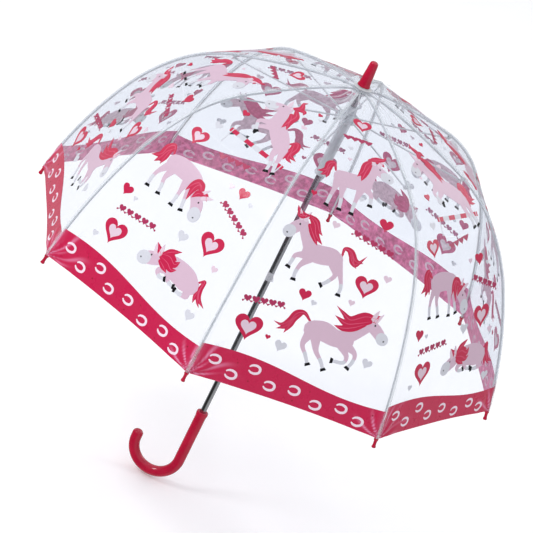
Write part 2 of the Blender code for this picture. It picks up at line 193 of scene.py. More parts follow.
def painted(name: str, paint: Callable[[Tree], NodeSocket]) -> Material:
    """Makes a material.

    Args:
        name: the material's name.
        paint: fills the tree and returns the shader.

    Returns:
        The material.
    """
    made = bpy.data.materials.new(name)
    made.use_nodes = True
    made.node_tree.nodes.clear()
    tree = Tree(made.node_tree)
    tree.link(paint(tree), tree.add("ShaderNodeOutputMaterial").inputs[0])
    return made


def toned(colour: Colour, share: float, lift: float = 0.0) -> Colour:
    """The colour made lighter by a share, or darker where the share is below zero."""
    return tuple(min(1.0, c * (1 + share) + lift) for c in colour)


# ---------------------------------------------------------------- finishes


@dataclass(frozen=True)
class MouldedPlastic:
    """Glossy injection-moulded plastic, with a faint orange peel and a slightly uneven colour."""

    name: str
    colour: Colour
    roughness: float = 0.13
    mottle: float = 0.07
    peel: float = 0.07

    def make(self) -> Material:
        """Builds the material."""
        return painted(self.name, self.shader)

    def shader(self, tree: Tree) -> NodeSocket:
        """The plastic's shader."""
        given = {
            "Base Color": tree.shades(
                tree.noise(45, 4), toned(self.colour, -self.mottle), toned(self.colour, self.mottle, 0.004)
            ),
            "Roughness": tree.spread(tree.noise(160, 5), self.roughness - 0.03, self.roughness + 0.05),
            "Normal": tree.bump(tree.noise(420, 2), self.peel, 0.00006),
            "Coat Weight": 0.25,
            "Coat Roughness": 0.05,
        }
        return tree.add("ShaderNodeBsdfPrincipled", given).outputs[0]


@dataclass(frozen=True)
class PlatedSteel:
    """Bright plated steel, drawn lengthwise, with fine lines and a few duller clouds."""

    name: str
    colour: Colour = (0.62, 0.63, 0.66)
    roughness: float = 0.17
    drawn: Sequence[float] = (1, 1, 0.03)
    metal: float = 1.0

    def make(self) -> Material:
        """Builds the material."""
        return painted(self.name, self.shader)

    def shader(self, tree: Tree) -> NodeSocket:
        """The plating's shader."""
        lines = tree.noise(2600, 2, self.drawn)
        given = {
            "Base Color": tree.shades(tree.noise(60, 4), toned(self.colour, -0.18), self.colour),
            "Metallic": self.metal,
            "Roughness": tree.spread(lines, self.roughness - 0.04, self.roughness + 0.10),
            "Normal": tree.bump(lines, 0.10, 0.00003),
        }
        return tree.add("ShaderNodeBsdfPrincipled", given).outputs[0]


@dataclass(frozen=True)
class SheerPlastic:
    """Plastic that lets some of what is behind it show: film, a weld or a frosted moulding."""

    name: str
    tint: Colour
    body: Colour
    solid: tuple[float, float]
    rim: float
    roughness: float
    crinkle: float = 0.0
    ripple: float = 0.25
    ripple_scale: float = 60.0
    ripple_depth: float = 0.0004

    def make(self) -> Material:
        """Builds the material."""
        return painted(self.name, self.shader)

    def shader(self, tree: Tree) -> NodeSocket:
        """Clear where it is thin, more solid at its glancing edges, and whiter along its crinkled folds as a
        painted highlight.
        """
        clear = tree.add("ShaderNodeBsdfTransparent", {"Color": (*self.tint, 1)})
        given = {
            "Base Color": (*self.body, 1),
            "Roughness": self.roughness,
            "Normal": tree.bump(tree.noise(self.ripple_scale, 2), self.ripple, self.ripple_depth),
            "Specular IOR Level": 0.6,
        }
        surface = tree.add("ShaderNodeBsdfPrincipled", given)
        veil = tree.spread(tree.noise(self.ripple_scale * 0.6, 3), *self.solid)
        edge = tree.add("ShaderNodeLayerWeight", {"Blend": 0.32}).outputs["Facing"]
        glance = tree.math("MULTIPLY", tree.math("POWER", edge, 3.0), self.rim)
        # Painted highlight: the attribute makes the film more solid, and so whiter, in streaks along its
        # folds.
        if self.crinkle:
            folds = tree.add("ShaderNodeAttribute", attribute_name="crinkle").outputs["Fac"]
            veil = tree.math("ADD", veil, tree.math("MULTIPLY", folds, self.crinkle))
        share = tree.add("ShaderNodeMath", {0: glance, 1: veil}, operation="ADD", use_clamp=True)
        mix = {0: share.outputs[0], 1: clear.outputs[0], 2: surface.outputs[0]}
        return tree.add("ShaderNodeMixShader", mix).outputs[0]


@dataclass(frozen=True)
class PrintInk:
    """Screen ink on film: even, slightly grainy, and glossy where film covers it."""

    name: str
    colour: Colour
    roughness: float = 0.36
    grain: float = 0.05
    gloss: float = 0.40
    crinkle: float = 0.0
    # The colour of the painted highlight along the crinkles.
    painted_glint: Colour = (0.82, 0.34, 0.56)
    cells: float = 900.0
    shine: float = 0.2

    def make(self) -> Material:
        """Builds the material."""
        return painted(self.name, self.shader)

    def shader(self, tree: Tree) -> NodeSocket:
        """The ink's shader, with a painted pale pink highlight mixed into its colour along the film's folds
        where it is crinkled.
        """
        dark, light = toned(self.colour, -self.grain), toned(self.colour, self.grain)
        height = tree.noise(140 if self.crinkle else 1800, 3)
        colour = tree.shades(tree.noise(self.cells, 4), dark, light)
        # Painted highlight: the colour is mixed towards a pale pink where the attribute marks crinkles.
        if self.crinkle:
            folds = tree.add("ShaderNodeAttribute", attribute_name="crinkle").outputs["Fac"]
            colour = tree.blend(tree.math("MULTIPLY", folds, 0.90), colour, self.painted_glint)
        given = {
            "Base Color": colour,
            "Roughness": tree.spread(tree.noise(90, 3), self.roughness - 0.06, self.roughness + 0.08),
            "Normal": tree.bump(height, 0.12 + self.crinkle, 0.00005 + 0.0004 * self.crinkle),
            "Coat Weight": self.gloss,
            "Coat Roughness": 0.12,
            "Specular IOR Level": self.shine,
        }
        return tree.add("ShaderNodeBsdfPrincipled", given).outputs[0]


class Ink(Enum):
    """The print's inks. Each has its outer colour, and the duller one that its back shows."""

    CRIMSON = ((0.545, 0.010, 0.066), (0.500, 0.130, 0.240))
    PINK = ((0.640, 0.455, 0.570), (0.560, 0.430, 0.500))
    PALE = ((0.720, 0.560, 0.660), (0.620, 0.540, 0.600))
    GREY = ((0.625, 0.630, 0.695), (0.600, 0.625, 0.665))
    BLACK = ((0.010, 0.010, 0.012), (0.060, 0.058, 0.065))
    WHITE = ((0.840, 0.690, 0.790), (0.650, 0.480, 0.570))
    WINE = ((0.330, 0.008, 0.030), (0.400, 0.090, 0.170))
    ROSE = ((0.700, 0.090, 0.190), (0.560, 0.190, 0.300))
    BERRY = ((0.400, 0.026, 0.098), (0.420, 0.170, 0.270))

    @property
    def front(self) -> Colour:
        """The colour seen from outside."""
        return self.value[0]

    @property
    def back(self) -> Colour:
        """The colour seen from under the dome."""
        return self.value[1]


@dataclass
class Finishes:
    """Every material of the umbrella, made once."""

    crimson: Material
    steel: Material
    wire: Material
    film: Material
    weld: Material
    frosted: Material
    milky: Material
    band: Material
    band_back: Material
    fronts: dict[Ink, Material] = field(default_factory=dict)
    backs: dict[Ink, Material] = field(default_factory=dict)

    @classmethod
    def make(cls) -> Finishes:
        """Builds every finish.

        Returns:
            The finishes.
        """
        plain = (
            MouldedPlastic("crimson_moulding", (0.455, 0.005, 0.036)),
            PlatedSteel("plated_tube"),
            PlatedSteel("plated_wire", (0.78, 0.80, 0.82), 0.32, (1, 1, 1), 0.30),
            # clear_film's 0.45 and the border inks' 0.35 set how strong their painted crinkle highlights are.
            SheerPlastic(
                "clear_film", (0.944, 0.953, 0.972), (0.78, 0.81, 0.85), (0.004, 0.026), 0.42, 0.12, 0.45
            ),
            SheerPlastic("welded_seam", (0.970, 0.976, 0.984), (0.84, 0.87, 0.89), (0.14, 0.30), 0.36, 0.22),
            SheerPlastic("frosted_sleeve", (0.88, 0.89, 0.90), (0.74, 0.76, 0.78), (0.42, 0.60), 0.4, 0.30),
            SheerPlastic("milky_washer", (0.93, 0.94, 0.95), (0.84, 0.86, 0.88), (0.40, 0.56), 0.4, 0.28),
            PrintInk("border_ink", (0.540, 0.011, 0.070), 0.30, 0.07, 0.40, 0.35),
            PrintInk("border_ink_back", (0.605, 0.185, 0.325), 0.34, 0.34, 0.0, 0.35, cells=150),
        )
        made = cls(*(finish.make() for finish in plain))
        for ink in Ink:
            word = ink.name.lower()
            matt = {"gloss": 0.08, "shine": 0.05} if ink is Ink.BLACK else {}
            made.fronts[ink] = PrintInk(f"{word}_ink", ink.front, **matt).make()
            made.backs[ink] = PrintInk(f"{word}_ink_back", ink.back, 0.42, 0.20, cells=260).make()
        return made


# ---------------------------------------------------------------- meshes


def shown(name: str, data: bpy.types.ID) -> Object:
    """A new object in the scene."""
    obj = bpy.data.objects.new(name, data)
    bpy.context.scene.collection.objects.link(obj)
    return obj


def fitted(piece: Object, body: str, slot: str, *nodes: str) -> Object:
    """Ties a finished piece to its body.

    Args:
        piece: the piece.
        body: the body that carries it.
        slot: the name of a finish slot, which is not used.
        nodes: the CAD nodes that it stands for.

    Returns:
        The piece.
    """
    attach(piece, body)
    if nodes:
        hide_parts(*nodes)
    return piece


def numbered(mesh: Mesh, name: str, numbers: Sequence[float] | np.ndarray) -> None:
    """Gives each point of a mesh a number under a name."""
    attribute = mesh.attributes.new(name, "FLOAT", "POINT")
    attribute.data.foreach_set("value", np.asarray(numbers, np.float32))


def upright(points: np.ndarray, y: float) -> np.ndarray:
    """(x, z) points set upright at a depth of y."""
    return np.stack([points[:, 0], np.full(len(points), y), points[:, 1]], 1)


def piece_from(
    name: str,
    points: np.ndarray,
    faces: Sequence[Sequence[int]],
    finishes: Sequence[Material],
    finish_of: Sequence[int] | None = None,
    sharp: float = 40.0,
    values: dict[str, np.ndarray] | None = None,
) -> Object:
    """Makes a closed piece from points and faces, with its faces turned out.

    Args:
        name: the piece's name.
        points: the places of its points.
        faces: the point numbers of each face.
        finishes: its materials.
        finish_of: the material's number for each face, or None for the first.
        sharp: the angle in degrees past which an edge looks sharp.
        values: named numbers, one for each point, that its materials read.

    Returns:
        The object, at the origin.
    """
    mesh = bpy.data.meshes.new(name)
    mesh.from_pydata([tuple(p) for p in points], [], [tuple(f) for f in faces])
    for finish in finishes:
        mesh.materials.append(finish)
    if finish_of is not None:
        mesh.polygons.foreach_set("material_index", np.asarray(finish_of, np.int32))
    for label, numbers in (values or {}).items():
        numbered(mesh, label, numbers)
    tidy_mesh(mesh, sharp)
    return shown(name, mesh)


def tidy_mesh(mesh: Mesh, sharp: float = 40.0, merge: float = 1e-7) -> None:
    """Merges doubles, turns the faces out and shades the mesh smooth.

    Args:
        mesh: the mesh to tidy.
        sharp: the angle in degrees past which an edge stays sharp.
        merge: how near two points are to be one.
    """
    bm = bmesh.new()
    bm.from_mesh(mesh)
    bmesh.ops.remove_doubles(bm, verts=bm.verts, dist=merge)
    bmesh.ops.recalc_face_normals(bm, faces=bm.faces)
    bm.to_mesh(mesh)
    bm.free()
    mesh.shade_smooth()
    mesh.set_sharp_from_angle(angle=math.radians(sharp))


def joined(name: str, parts: Sequence[Object], sharp: float = 40.0) -> Object:
    """Joins several objects into one piece, keeping their materials.

    Args:
        name: the piece's name.
        parts: the objects, which are removed.
        sharp: the angle in degrees past which an edge stays sharp.

    Returns:
        The joined object.
    """
    bm = bmesh.new()
    finishes: list[Material] = []
    for part in parts:
        numbers = []
        for finish in part.data.materials:
            if finish not in finishes:
                finishes.append(finish)
            numbers.append(finishes.index(finish))
        first = len(bm.faces)
        bm.from_mesh(part.data)
        bm.faces.ensure_lookup_table()
        for face in bm.faces[first:]:
            face.material_index = numbers[face.material_index] if numbers else 0
    mesh = bpy.data.meshes.new(name)
    bm.to_mesh(mesh)
    bm.free()
    for finish in finishes:
        mesh.materials.append(finish)
    for part in parts:
        bpy.data.objects.remove(part, do_unlink=True)
    tidy_mesh(mesh, sharp)
    return shown(name, mesh)


def lofted(name: str, rings: Sequence[np.ndarray], finish: Material, around: bool = False) -> Object:
    """Skins through rings of equal length.

    Args:
        name: the piece's name.
        rings: the rings of points.
        finish: its material.
        around: True joins the last ring to the first, and False closes each end with a face.

    Returns:
        The object.
    """
    count = len(rings[0])
    faces = []
    for i in range(len(rings) if around else len(rings) - 1):
        here, there = i * count, (i + 1) % len(rings) * count
        for j in range(count):
            k = (j + 1) % count
            faces.append((here + j, here + k, there + k, there + j))
    if not around:
        faces.append(tuple(range(count)))
        faces.append(tuple((len(rings) - 1) * count + j for j in range(count)))
    return piece_from(name, np.concatenate(rings), faces, [finish])


def turned(name: str, profile: Profile, finish: Material, sides: int = 48) -> Object:
    """Turns a closed profile round the shaft's axis.

    Args:
        name: the piece's name.
        profile: (radius, height) points round the section, the last joined to the first.
        finish: its material.
        sides: how many facets go round.

    Returns:
        The object.
    """
    outline = np.array(profile)
    rings = []
    for angle in np.arange(sides) * 2 * math.pi / sides:
        r, z = outline[:, 0], outline[:, 1]
        rings.append(np.stack([r * math.cos(angle), r * math.sin(angle), z], 1))
    return lofted(name, rings, finish, around=True)


def rounded(profile: Profile, radius: float, steps: int = 3) -> Profile:
    """Rounds the corners of a closed profile.

    Args:
        profile: its corners.
        radius: how far back from a corner the rounding starts, at most.
        steps: points added along each rounding.

    Returns:
        The rounded profile.
    """
    corners = [Vector(p) for p in profile]
    out = []
    for i, corner in enumerate(corners):
        before, after = corners[i - 1] - corner, corners[(i + 1) % len(corners)] - corner
        reach = min(radius, before.length * 0.45, after.length * 0.45)
        start, end = corner + before.normalized() * reach, corner + after.normalized() * reach
        for k in range(steps + 1):
            t = k / steps
            out.append(tuple((1 - t) ** 2 * start + 2 * t * (1 - t) * corner + t * t * end))
    return out


def turned_round(obj: Object, azimuth: float) -> Object:
    """Turns a piece's mesh about the shaft, so that its object stays unturned."""
    obj.data.transform(Matrix.Rotation(azimuth, 4, "Z"))
    return obj


def plate(name: str, outline: Profile, low: float, high: float, finish: Material) -> Object:
    """A small flat plate in the plane of a rib, with softened edges.

    Args:
        name: the piece's name.
        outline: its (x, z) outline.
        low: its lower Y plane.
        high: its upper Y plane.
        finish: its material.

    Returns:
        The object.
    """
    points = np.array(outline)
    centre = points.mean(0)
    soft = min(0.00015, (high - low) * 0.3)
    rings = []
    for y, shrink in ((low, 0.90), (low + soft, 1.0), (high - soft, 1.0), (high, 0.90)):
        rings.append(upright(centre + (points - centre) * shrink, y))
    return lofted(name, rings, finish)


def cut(obj: Object, cutter: Object) -> None:
    """Cuts one object out of another and removes the cutter.

    Args:
        obj: the piece that is cut.
        cutter: the shape that is taken away.
    """
    modifier = obj.modifiers.new("cut", "BOOLEAN")
    modifier.operation = "DIFFERENCE"
    modifier.object = cutter
    obj.data = plain_mesh(obj)
    obj.modifiers.clear()
    bpy.data.objects.remove(cutter, do_unlink=True)
    tidy_mesh(obj.data)


def plain_mesh(obj: Object) -> Mesh:
    """The object as its modifiers make it, as a mesh of its own."""
    graph = bpy.context.evaluated_depsgraph_get()
    graph.update()
    return bpy.data.meshes.new_from_object(obj.evaluated_get(graph), depsgraph=graph)


# ---------------------------------------------------------------- Geometry Nodes

# Painted highlight mask: where the film is drawn whiter and its border ink pinker along its crinkles.

class NodeTool:
    """A Geometry Nodes tree with named inputs, run on a mesh and turned into plain geometry."""

    def __init__(self, name: str, inputs: Sequence[tuple[str, str]]) -> None:
        """Starts the tree.

        Args:
            name: the tree's name.
            inputs: (name, socket type) of each input after the geometry.
        """
        group = bpy.data.node_groups.new(name, "GeometryNodeTree")
        group.interface.new_socket("Geometry", in_out="INPUT", socket_type="NodeSocketGeometry")
        self.sockets = {}
        for label, kind in inputs:
            socket = group.interface.new_socket(label, in_out="INPUT", socket_type=kind)
            self.sockets[label] = socket.identifier
        group.interface.new_socket("Geometry", in_out="OUTPUT", socket_type="NodeSocketGeometry")
        self.group, self.tree = group, Tree(group)
        self.given = self.tree.add("NodeGroupInput")

    def close(self, geometry: NodeSocket) -> None:
        """Ends the tree in Realize Instances and Set Material.

        Args:
            geometry: what the tree has made.
        """
        real = self.tree.add("GeometryNodeRealizeInstances", {0: geometry})
        given = {0: real.outputs[0], "Material": self.given.outputs["Finish"]}
        dressed = self.tree.add("GeometryNodeSetMaterial", given)
        self.tree.link(dressed.outputs[0], self.tree.add("NodeGroupOutput").inputs[0])

    def number(self, name: str) -> NodeSocket:
        """The number that each point carries under that name."""
        return self.tree.add("GeometryNodeInputNamedAttribute", {"Name": name}, data_type="FLOAT").outputs[0]

    def copies(self, points: NodeSocket, of: str, turn: NodeSocket, **more: NodeSocket) -> NodeSocket:
        """Copies of an object, one on each point.

        Args:
            points: the points.
            of: the name of the input that gives the object.
            turn: each copy's turn about Z.
            more: further inputs of the copying node.

        Returns:
            The copies.
        """
        given = {"Object": self.given.outputs[of], "As Instance": True}
        what = self.tree.add("GeometryNodeObjectInfo", given)
        angle = self.tree.add("ShaderNodeCombineXYZ", {"Z": turn}).outputs[0]
        given = {"Points": points, "Instance": what.outputs["Geometry"], "Rotation": angle, **more}
        return self.tree.add("GeometryNodeInstanceOnPoints", given).outputs[0]

    def run(self, name: str, base: Mesh, values: dict[str, object]) -> Object:
        """Runs the tree on a mesh.

        Args:
            name: the new object's name.
            base: the mesh that the tree starts from.
            values: what each named input is.

        Returns:
            A new object with the plain result.
        """
        obj = shown(name, base)
        modifier = obj.modifiers.new(name, "NODES")
        modifier.node_group = self.group
        for label, value in values.items():
            modifier[self.sockets[label]] = value
        obj.data = plain_mesh(obj)
        obj.modifiers.clear()
        return obj


def rod_tool() -> NodeTool:
    """A round bar along an open line of points, whose "thick" attribute scales the bar at each."""
    inputs = [("Radius", "NodeSocketFloat"), ("Sides", "NodeSocketInt"), ("Finish", "NodeSocketMaterial")]
    tool = NodeTool("rod_along_path", inputs)
    tree, given = tool.tree, tool.given.outputs
    line = tree.add("GeometryNodeMeshToCurve", {0: given["Geometry"]}).outputs[0]
    section = {"Resolution": given["Sides"], "Radius": given["Radius"]}
    circle = tree.add("GeometryNodeCurvePrimitiveCircle", section, mode="RADIUS").outputs[0]
    sweep = {"Curve": line, "Profile Curve": circle, "Scale": tool.number("thick"), "Fill Caps": True}
    tool.close(tree.add("GeometryNodeCurveToMesh", sweep).outputs[0])
    return tool


def stamp_tool() -> NodeTool:
    """Copies of a flat stamp on points, each with its own "size" and "turn"."""
    tool = NodeTool("stamps_on_points", [("Stamp", "NodeSocketObject"), ("Finish", "NodeSocketMaterial")])
    size, turn = tool.number("size"), tool.number("turn")
    tool.close(tool.copies(tool.given.outputs["Geometry"], "Stamp", turn, Scale=size))
    return tool


def ring_tool() -> NodeTool:
    """Copies of a small solid spaced evenly round the shaft, at a radius and a height."""
    inputs = [("Solid", "NodeSocketObject"), ("Count", "NodeSocketInt"), ("Radius", "NodeSocketFloat")]
    inputs += [("Height", "NodeSocketFloat"), ("Finish", "NodeSocketMaterial")]
    tool = NodeTool("solids_in_a_ring", inputs)
    tree, given = tool.tree, tool.given.outputs
    lift = tree.add("ShaderNodeCombineXYZ", {"Z": given["Height"]}).outputs[0]
    sizes = {"Vertices": given["Count"], "Radius": given["Radius"]}
    circle = tree.add("GeometryNodeMeshCircle", sizes).outputs[0]
    ring = tree.add("GeometryNodeTransform", {"Geometry": circle, "Translation": lift}).outputs[0]
    step = tree.math("DIVIDE", 2 * math.pi, given["Count"])
    turn = tree.math("MULTIPLY", tree.add("GeometryNodeInputIndex").outputs[0], step)
    tool.close(tool.copies(ring, "Solid", turn))
    return tool


def points_mesh(points: np.ndarray, line: bool, **values: Sequence[float]) -> Mesh:
    """A mesh of points that a node tool starts from.

    Args:
        points: the places.
        line: True joins them in order by edges.
        values: named numbers, one for each point.

    Returns:
        The mesh.
    """
    edges = [(i, i + 1) for i in range(len(points) - 1)] if line else []
    mesh = bpy.data.meshes.new("points")
    mesh.from_pydata([tuple(p) for p in points], edges, [])
    for name, numbers in values.items():
        numbered(mesh, name, numbers)
    return mesh


@dataclass
class Workshop:
    """The finishes and the node tools that every sub-assembly uses."""

    finishes: Finishes
    rods: NodeTool
    stamps: NodeTool
    rings: NodeTool

    @classmethod
    def open(cls) -> Workshop:
        """Makes the finishes and the tools."""
        return cls(Finishes.make(), rod_tool(), stamp_tool(), ring_tool())

    def rod(self, name: str, path: np.ndarray, radius: float, sides: int = 14, domed: bool = True) -> Object:
        """A round wire bar along a path.

        Args:
            name: the piece's name.
            path: its centreline.
            radius: its radius.
            sides: its facets.
            domed: True rounds its two ends.

        Returns:
            The bar.
        """
        thick = np.ones(len(path))
        if domed:
            first, last = path[1] - path[0], path[-1] - path[-2]
            first, last = first / np.linalg.norm(first), last / np.linalg.norm(last)
            turns = np.radians((12, 35, 62))
            start = [path[0] + first * radius * (1 - math.cos(a)) for a in turns]
            end = [path[-1] - last * radius * (1 - math.cos(a)) for a in turns[::-1]]
            near, far = path[0] + first * radius, path[-1] - last * radius
            path = np.concatenate([start, [near], path[1:-1], [far], end])
            ends = np.sin(turns)
            thick = np.concatenate([ends, np.ones(len(path) - 6), ends[::-1]])
        given = {"Radius": radius, "Sides": sides, "Finish": self.finishes.wire}
        made = self.rods.run(name, points_mesh(path, True, thick=thick), given)
        tidy_mesh(made.data, 50)
        return made


# ---------------------------------------------------------------- the dome's shape


def smooth(value: np.ndarray) -> np.ndarray:
    """A smooth step from 0 to 1 over that range."""
    value = np.clip(value, 0, 1)
    return value * value * (3 - 2 * value)


@dataclass(frozen=True)
class Dome:
    """The canopy's surface: a rib's curve, and film drawn straight from rib to rib."""

    crown: float
    radius: float
    slopes: tuple[float, ...] = (6.7, 14.9, 19.8, 45.7, 62.8, 70.6, 78.8)
    scallop: float = 3.5 * MM
    seam_gap: float = 0.4 * MM
    steps: int = 1200
    border_height: float = 40.0 * MM
    border_wave: float = 6.3 * MM
    wave_shift: float = 5.0 * MM
    wave_half: float = 155.0 * MM

    @classmethod
    def from_frame(cls) -> Dome:
        """Reads the dome's height, which is just under its washer's top, and its radius from the frame."""
        washer_rise = 1.0 * MM
        return cls(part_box("crown_washer")[1].z - washer_rise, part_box("panel_1_outer")[1].x)

    def curve(self) -> tuple[np.ndarray, np.ndarray, np.ndarray, np.ndarray]:
        """The rib's curve.

        Returns:
            Arc from the crown, radius, height and slope, as arrays.
        """
        share = np.linspace(0, 1, self.steps + 1)
        slope = np.radians(np.interp(share, np.linspace(0, 1, len(self.slopes)), self.slopes))
        middle = (slope[1:] + slope[:-1]) / 2
        out = np.concatenate([[0], np.cumsum(np.cos(middle))])
        down = np.concatenate([[0], np.cumsum(np.sin(middle))])
        scale = self.radius / out[-1]
        return share * self.steps * scale, out * scale, self.crown - down * scale, slope

    @property
    def length(self) -> float:
        """The rib's arc from the crown to the rim."""
        return float(self.curve()[0][-1])

    def half_width(self, v: np.ndarray | float) -> np.ndarray:
        """Half a gore's width at a height up from the rim."""
        arc, out, _, _ = self.curve()
        return np.interp(arc[-1] - v, arc, out) * math.sin(HALF_TURN) - self.seam_gap

    def from_tip(self, u: np.ndarray, v: np.ndarray) -> tuple[np.ndarray, np.ndarray]:
        """How far a point is from the rib tip on the right, and at what angle."""
        out = self.half_width(0.0) - u
        return np.hypot(out, v), np.arctan2(v, np.maximum(out, 1e-5))

    def relief(self, u: np.ndarray, v: np.ndarray) -> np.ndarray:
        """How far the film stands off its smooth surface.

        It is gathered at the crown, drawn into creases at each rib tip and slack in between.

        Args:
            u: to the right, in metres.
            v: up from the rim, in metres.

        Returns:
            The offset along the film's normal.
        """
        half = self.half_width(v)
        across = np.clip(u / np.maximum(half, 1e-4), -1, 1)
        arc = self.length - v
        gather = smooth((arc - 0.0135) / 0.008) * smooth(1 - (arc - 0.020) / 0.085)
        lift = -0.0011 * gather * (0.5 + 0.5 * np.cos(3 * math.pi * across))
        slack = (1 - across**2) * smooth((arc - 0.06) / 0.08)
        lift -= 0.0006 * slack * (1 + 0.6 * np.sin(31 * v + 5 * across))
        for side, turn in ((-1, 0.4), (1, 1.9)):
            far, angle = self.from_tip(side * u, v)
            crease = smooth(1 - far / 0.056) * smooth(far / 0.006)
            lift += 0.0010 * crease * np.sin(10 * angle + turn + 1.6 * np.sin(110 * far))
        return lift

    def painted_glint(self, u: np.ndarray, v: np.ndarray, gore: int) -> np.ndarray:
        """Where painted highlights go on the crinkled film, from 0 to 1: at the rib tips, along the seams and
        round the crown.

        Args:
            u: to the right, in metres.
            v: up from the rim, in metres.
            gore: the gore's number, which shifts the pattern.

        Returns:
            How strong the painted highlight is at each point.
        """
        half = self.half_width(v)
        across = np.clip(u / np.maximum(half, 1e-4), -1, 1)
        arc = self.length - v
        # Painted highlight: bright streaks fanning from the rib tips, a whitish line along each seam and
        # folds round the crown.
        fold = np.maximum(np.sin(13 * across + 40 * arc + gore + 2 * np.sin(90 * arc)), 0) ** 2
        shine = fold * smooth(1 - (arc - 0.012) / 0.10) * 0.9
        for side, turn, reach in ((-1, 0.4, 0.075), (1, 1.9, 0.050)):
            far, angle = self.from_tip(side * u, v)
            wander = turn + 1.7 * gore + 1.3 * np.sin(90 * far + gore)
            fan = np.sin(17 * angle + wander) * np.sin(6.1 * angle + 2.3 * gore + turn)
            streak = np.maximum(fan, 0) ** 2 * 1.6
            shine = shine + streak * smooth(1 - far / reach) * smooth(far / 0.006)
            shine = shine + 0.14 * smooth(1 - (half - side * u) / 0.010)
        return np.clip(shine, 0, 1)

    def place(self, gore: int, u: np.ndarray, v: np.ndarray, lift: np.ndarray | float = 0.0) -> np.ndarray:
        """Turns drawing points into places on a gore.

        Args:
            gore: the gore's number, from 1.
            u: to the right as seen from outside, in metres.
            v: up from the rim, in metres.
            lift: how far outside the film's middle each point is.

        Returns:
            The places, one row each.
        """
        arcs, out, heights, slopes = self.curve()
        arc = arcs[-1] - v
        slope = np.interp(arc, arcs, slopes)
        tilt = np.arctan2(np.sin(slope), math.cos(HALF_TURN) * np.cos(slope))
        stand = lift + self.relief(u, v)
        away = np.interp(arc, arcs, out) * math.cos(HALF_TURN) + stand * np.sin(tilt)
        height = np.interp(arc, arcs, heights) + stand * np.cos(tilt)
        middle = HALF_TURN + GORE_TURN * (gore - 1)
        x = away * math.cos(middle) - u * math.sin(middle)
        y = away * math.sin(middle) + u * math.cos(middle)
        return np.stack([x, y, height], -1)

    def seam(self, arc: np.ndarray | float, depth: float = 0.0) -> tuple[np.ndarray, np.ndarray]:
        """(radius, height) on the rib's line, that far in under the film."""
        arcs, out, heights, slopes = self.curve()
        slope = np.interp(arc, arcs, slopes)
        radius, height = np.interp(arc, arcs, out), np.interp(arc, arcs, heights)
        return radius - depth * np.sin(slope), height - depth * np.cos(slope)

    def edge(self, u: np.ndarray) -> np.ndarray:
        """The rim's height, drawn up between the ribs."""
        return self.scallop * (1 - np.clip(u / self.half_width(0.0), -1, 1) ** 2)

    def border(self, u: np.ndarray) -> np.ndarray:
        """The height of the printed border's wavy top."""
        wave = np.sin(math.pi * (u - self.wave_shift) / self.wave_half)
        return self.border_height - self.border_wave * wave


# ---------------------------------------------------------------- drawing


def spline(points: Sequence[Sequence[float]], steps: int = 6, closed: bool = False) -> np.ndarray:
    """A smooth curve through points, with every column carried along.

    Args:
        points: the points, which may have more than two numbers.
        steps: how many pieces each span is cut into.
        closed: True joins the end to the start.

    Returns:
        The curve's points.
    """
    given = np.array(points, float)
    count = len(given)
    spans = count if closed else count - 1
    out = []
    for i in range(spans):
        before = given[i - 1] if closed or i else 2 * given[0] - given[1]
        here, there = given[i], given[(i + 1) % count]
        after = given[(i + 2) % count] if closed or i < count - 2 else 2 * given[-1] - given[-2]
        for t in np.arange(steps) / steps:
            bend = (2 * before - 5 * here + 4 * there - after) * t**2
            twist = (3 * here - before - 3 * there + after) * t**3
            out.append(0.5 * (2 * here + (there - before) * t + bend + twist))
    if not closed:
        out.append(given[-1])
    return np.array(out)


def stroke(points: Sequence[Sequence[float]], steps: int = 6) -> Outline:
    """A brush stroke with round ends.

    Args:
        points: (u, v, half width) along it, in millimetres.
        steps: how finely each span is drawn.

    Returns:
        The stroke's outline.
    """
    line = spline(points, steps)
    line[:, 2] = np.maximum(line[:, 2], 0.15)
    along = np.gradient(line[:, :2], axis=0)
    along /= np.linalg.norm(along, axis=1)[:, None]
    side = np.stack([-along[:, 1], along[:, 0]], 1) * line[:, 2:3]
    left, right = line[:, :2] + side, line[:, :2] - side
    caps = []
    for end, way in ((-1, 1), (0, -1)):
        turns = np.linspace(0, math.pi, 6)[1:-1]
        fan = side[end] * way
        ahead = along[end] * way * line[end, 2]
        caps.append([line[end, :2] + fan * math.cos(t) + ahead * math.sin(t) for t in turns])
    return np.concatenate([left, caps[0], right[::-1], caps[1]])


def set_down(points: np.ndarray, middle: Sequence[float], turn: float) -> Outline:
    """A drawing turned by an angle in degrees and moved to its middle."""
    c, s = math.cos(math.radians(turn)), math.sin(math.radians(turn))
    return np.array(middle) + points @ np.array([(c, s), (-s, c)])


def oval(u: float, v: float, across: float, up: float, turn: float = 0.0, sides: int = 22) -> Outline:
    """An oval, in millimetres, turned by an angle in degrees."""
    angles = np.arange(sides) * 2 * math.pi / sides
    return set_down(np.stack([across * np.cos(angles), up * np.sin(angles)], 1), (u, v), turn)


def heart_outline() -> Outline:
    """A heart 1 mm wide, centred on its middle."""
    t = np.arange(44) * 2 * math.pi / 44
    x = 16 * np.sin(t) ** 3
    y = 13 * np.cos(t) - 5 * np.cos(2 * t) - 2 * np.cos(3 * t) - np.cos(4 * t) + 2.2
    return np.stack([x, y], 1) / 32


def horseshoe_outline() -> Outline:
    """A horseshoe 1 mm wide that opens to the left, with narrow heels."""
    arm = [(-47, 17, 6.0), (-31, 29, 8.5), (0, 34, 10.0), (31, 23, 10.5)]
    back = [(u, -v, w) for u, v, w in reversed(arm)]
    return stroke([*arm, (41, 0, 11.0), *back], 4) / 100


@dataclass(frozen=True)
class Spot:
    """Where a stamp goes: its middle and width in millimetres, and its turn in degrees."""

    u: float
    v: float
    width: float
    turn: float = 0.0


@dataclass
class Shape:
    """One inked outline, in millimetres, and how many inks lie under it."""

    outline: Outline
    ink: Ink
    layer: int = 0


@dataclass(frozen=True)
class Leg:
    """A leg from the hip to the hoof, and the hoof's turn in degrees."""

    joints: Stroke
    hoof_turn: float = 0.0


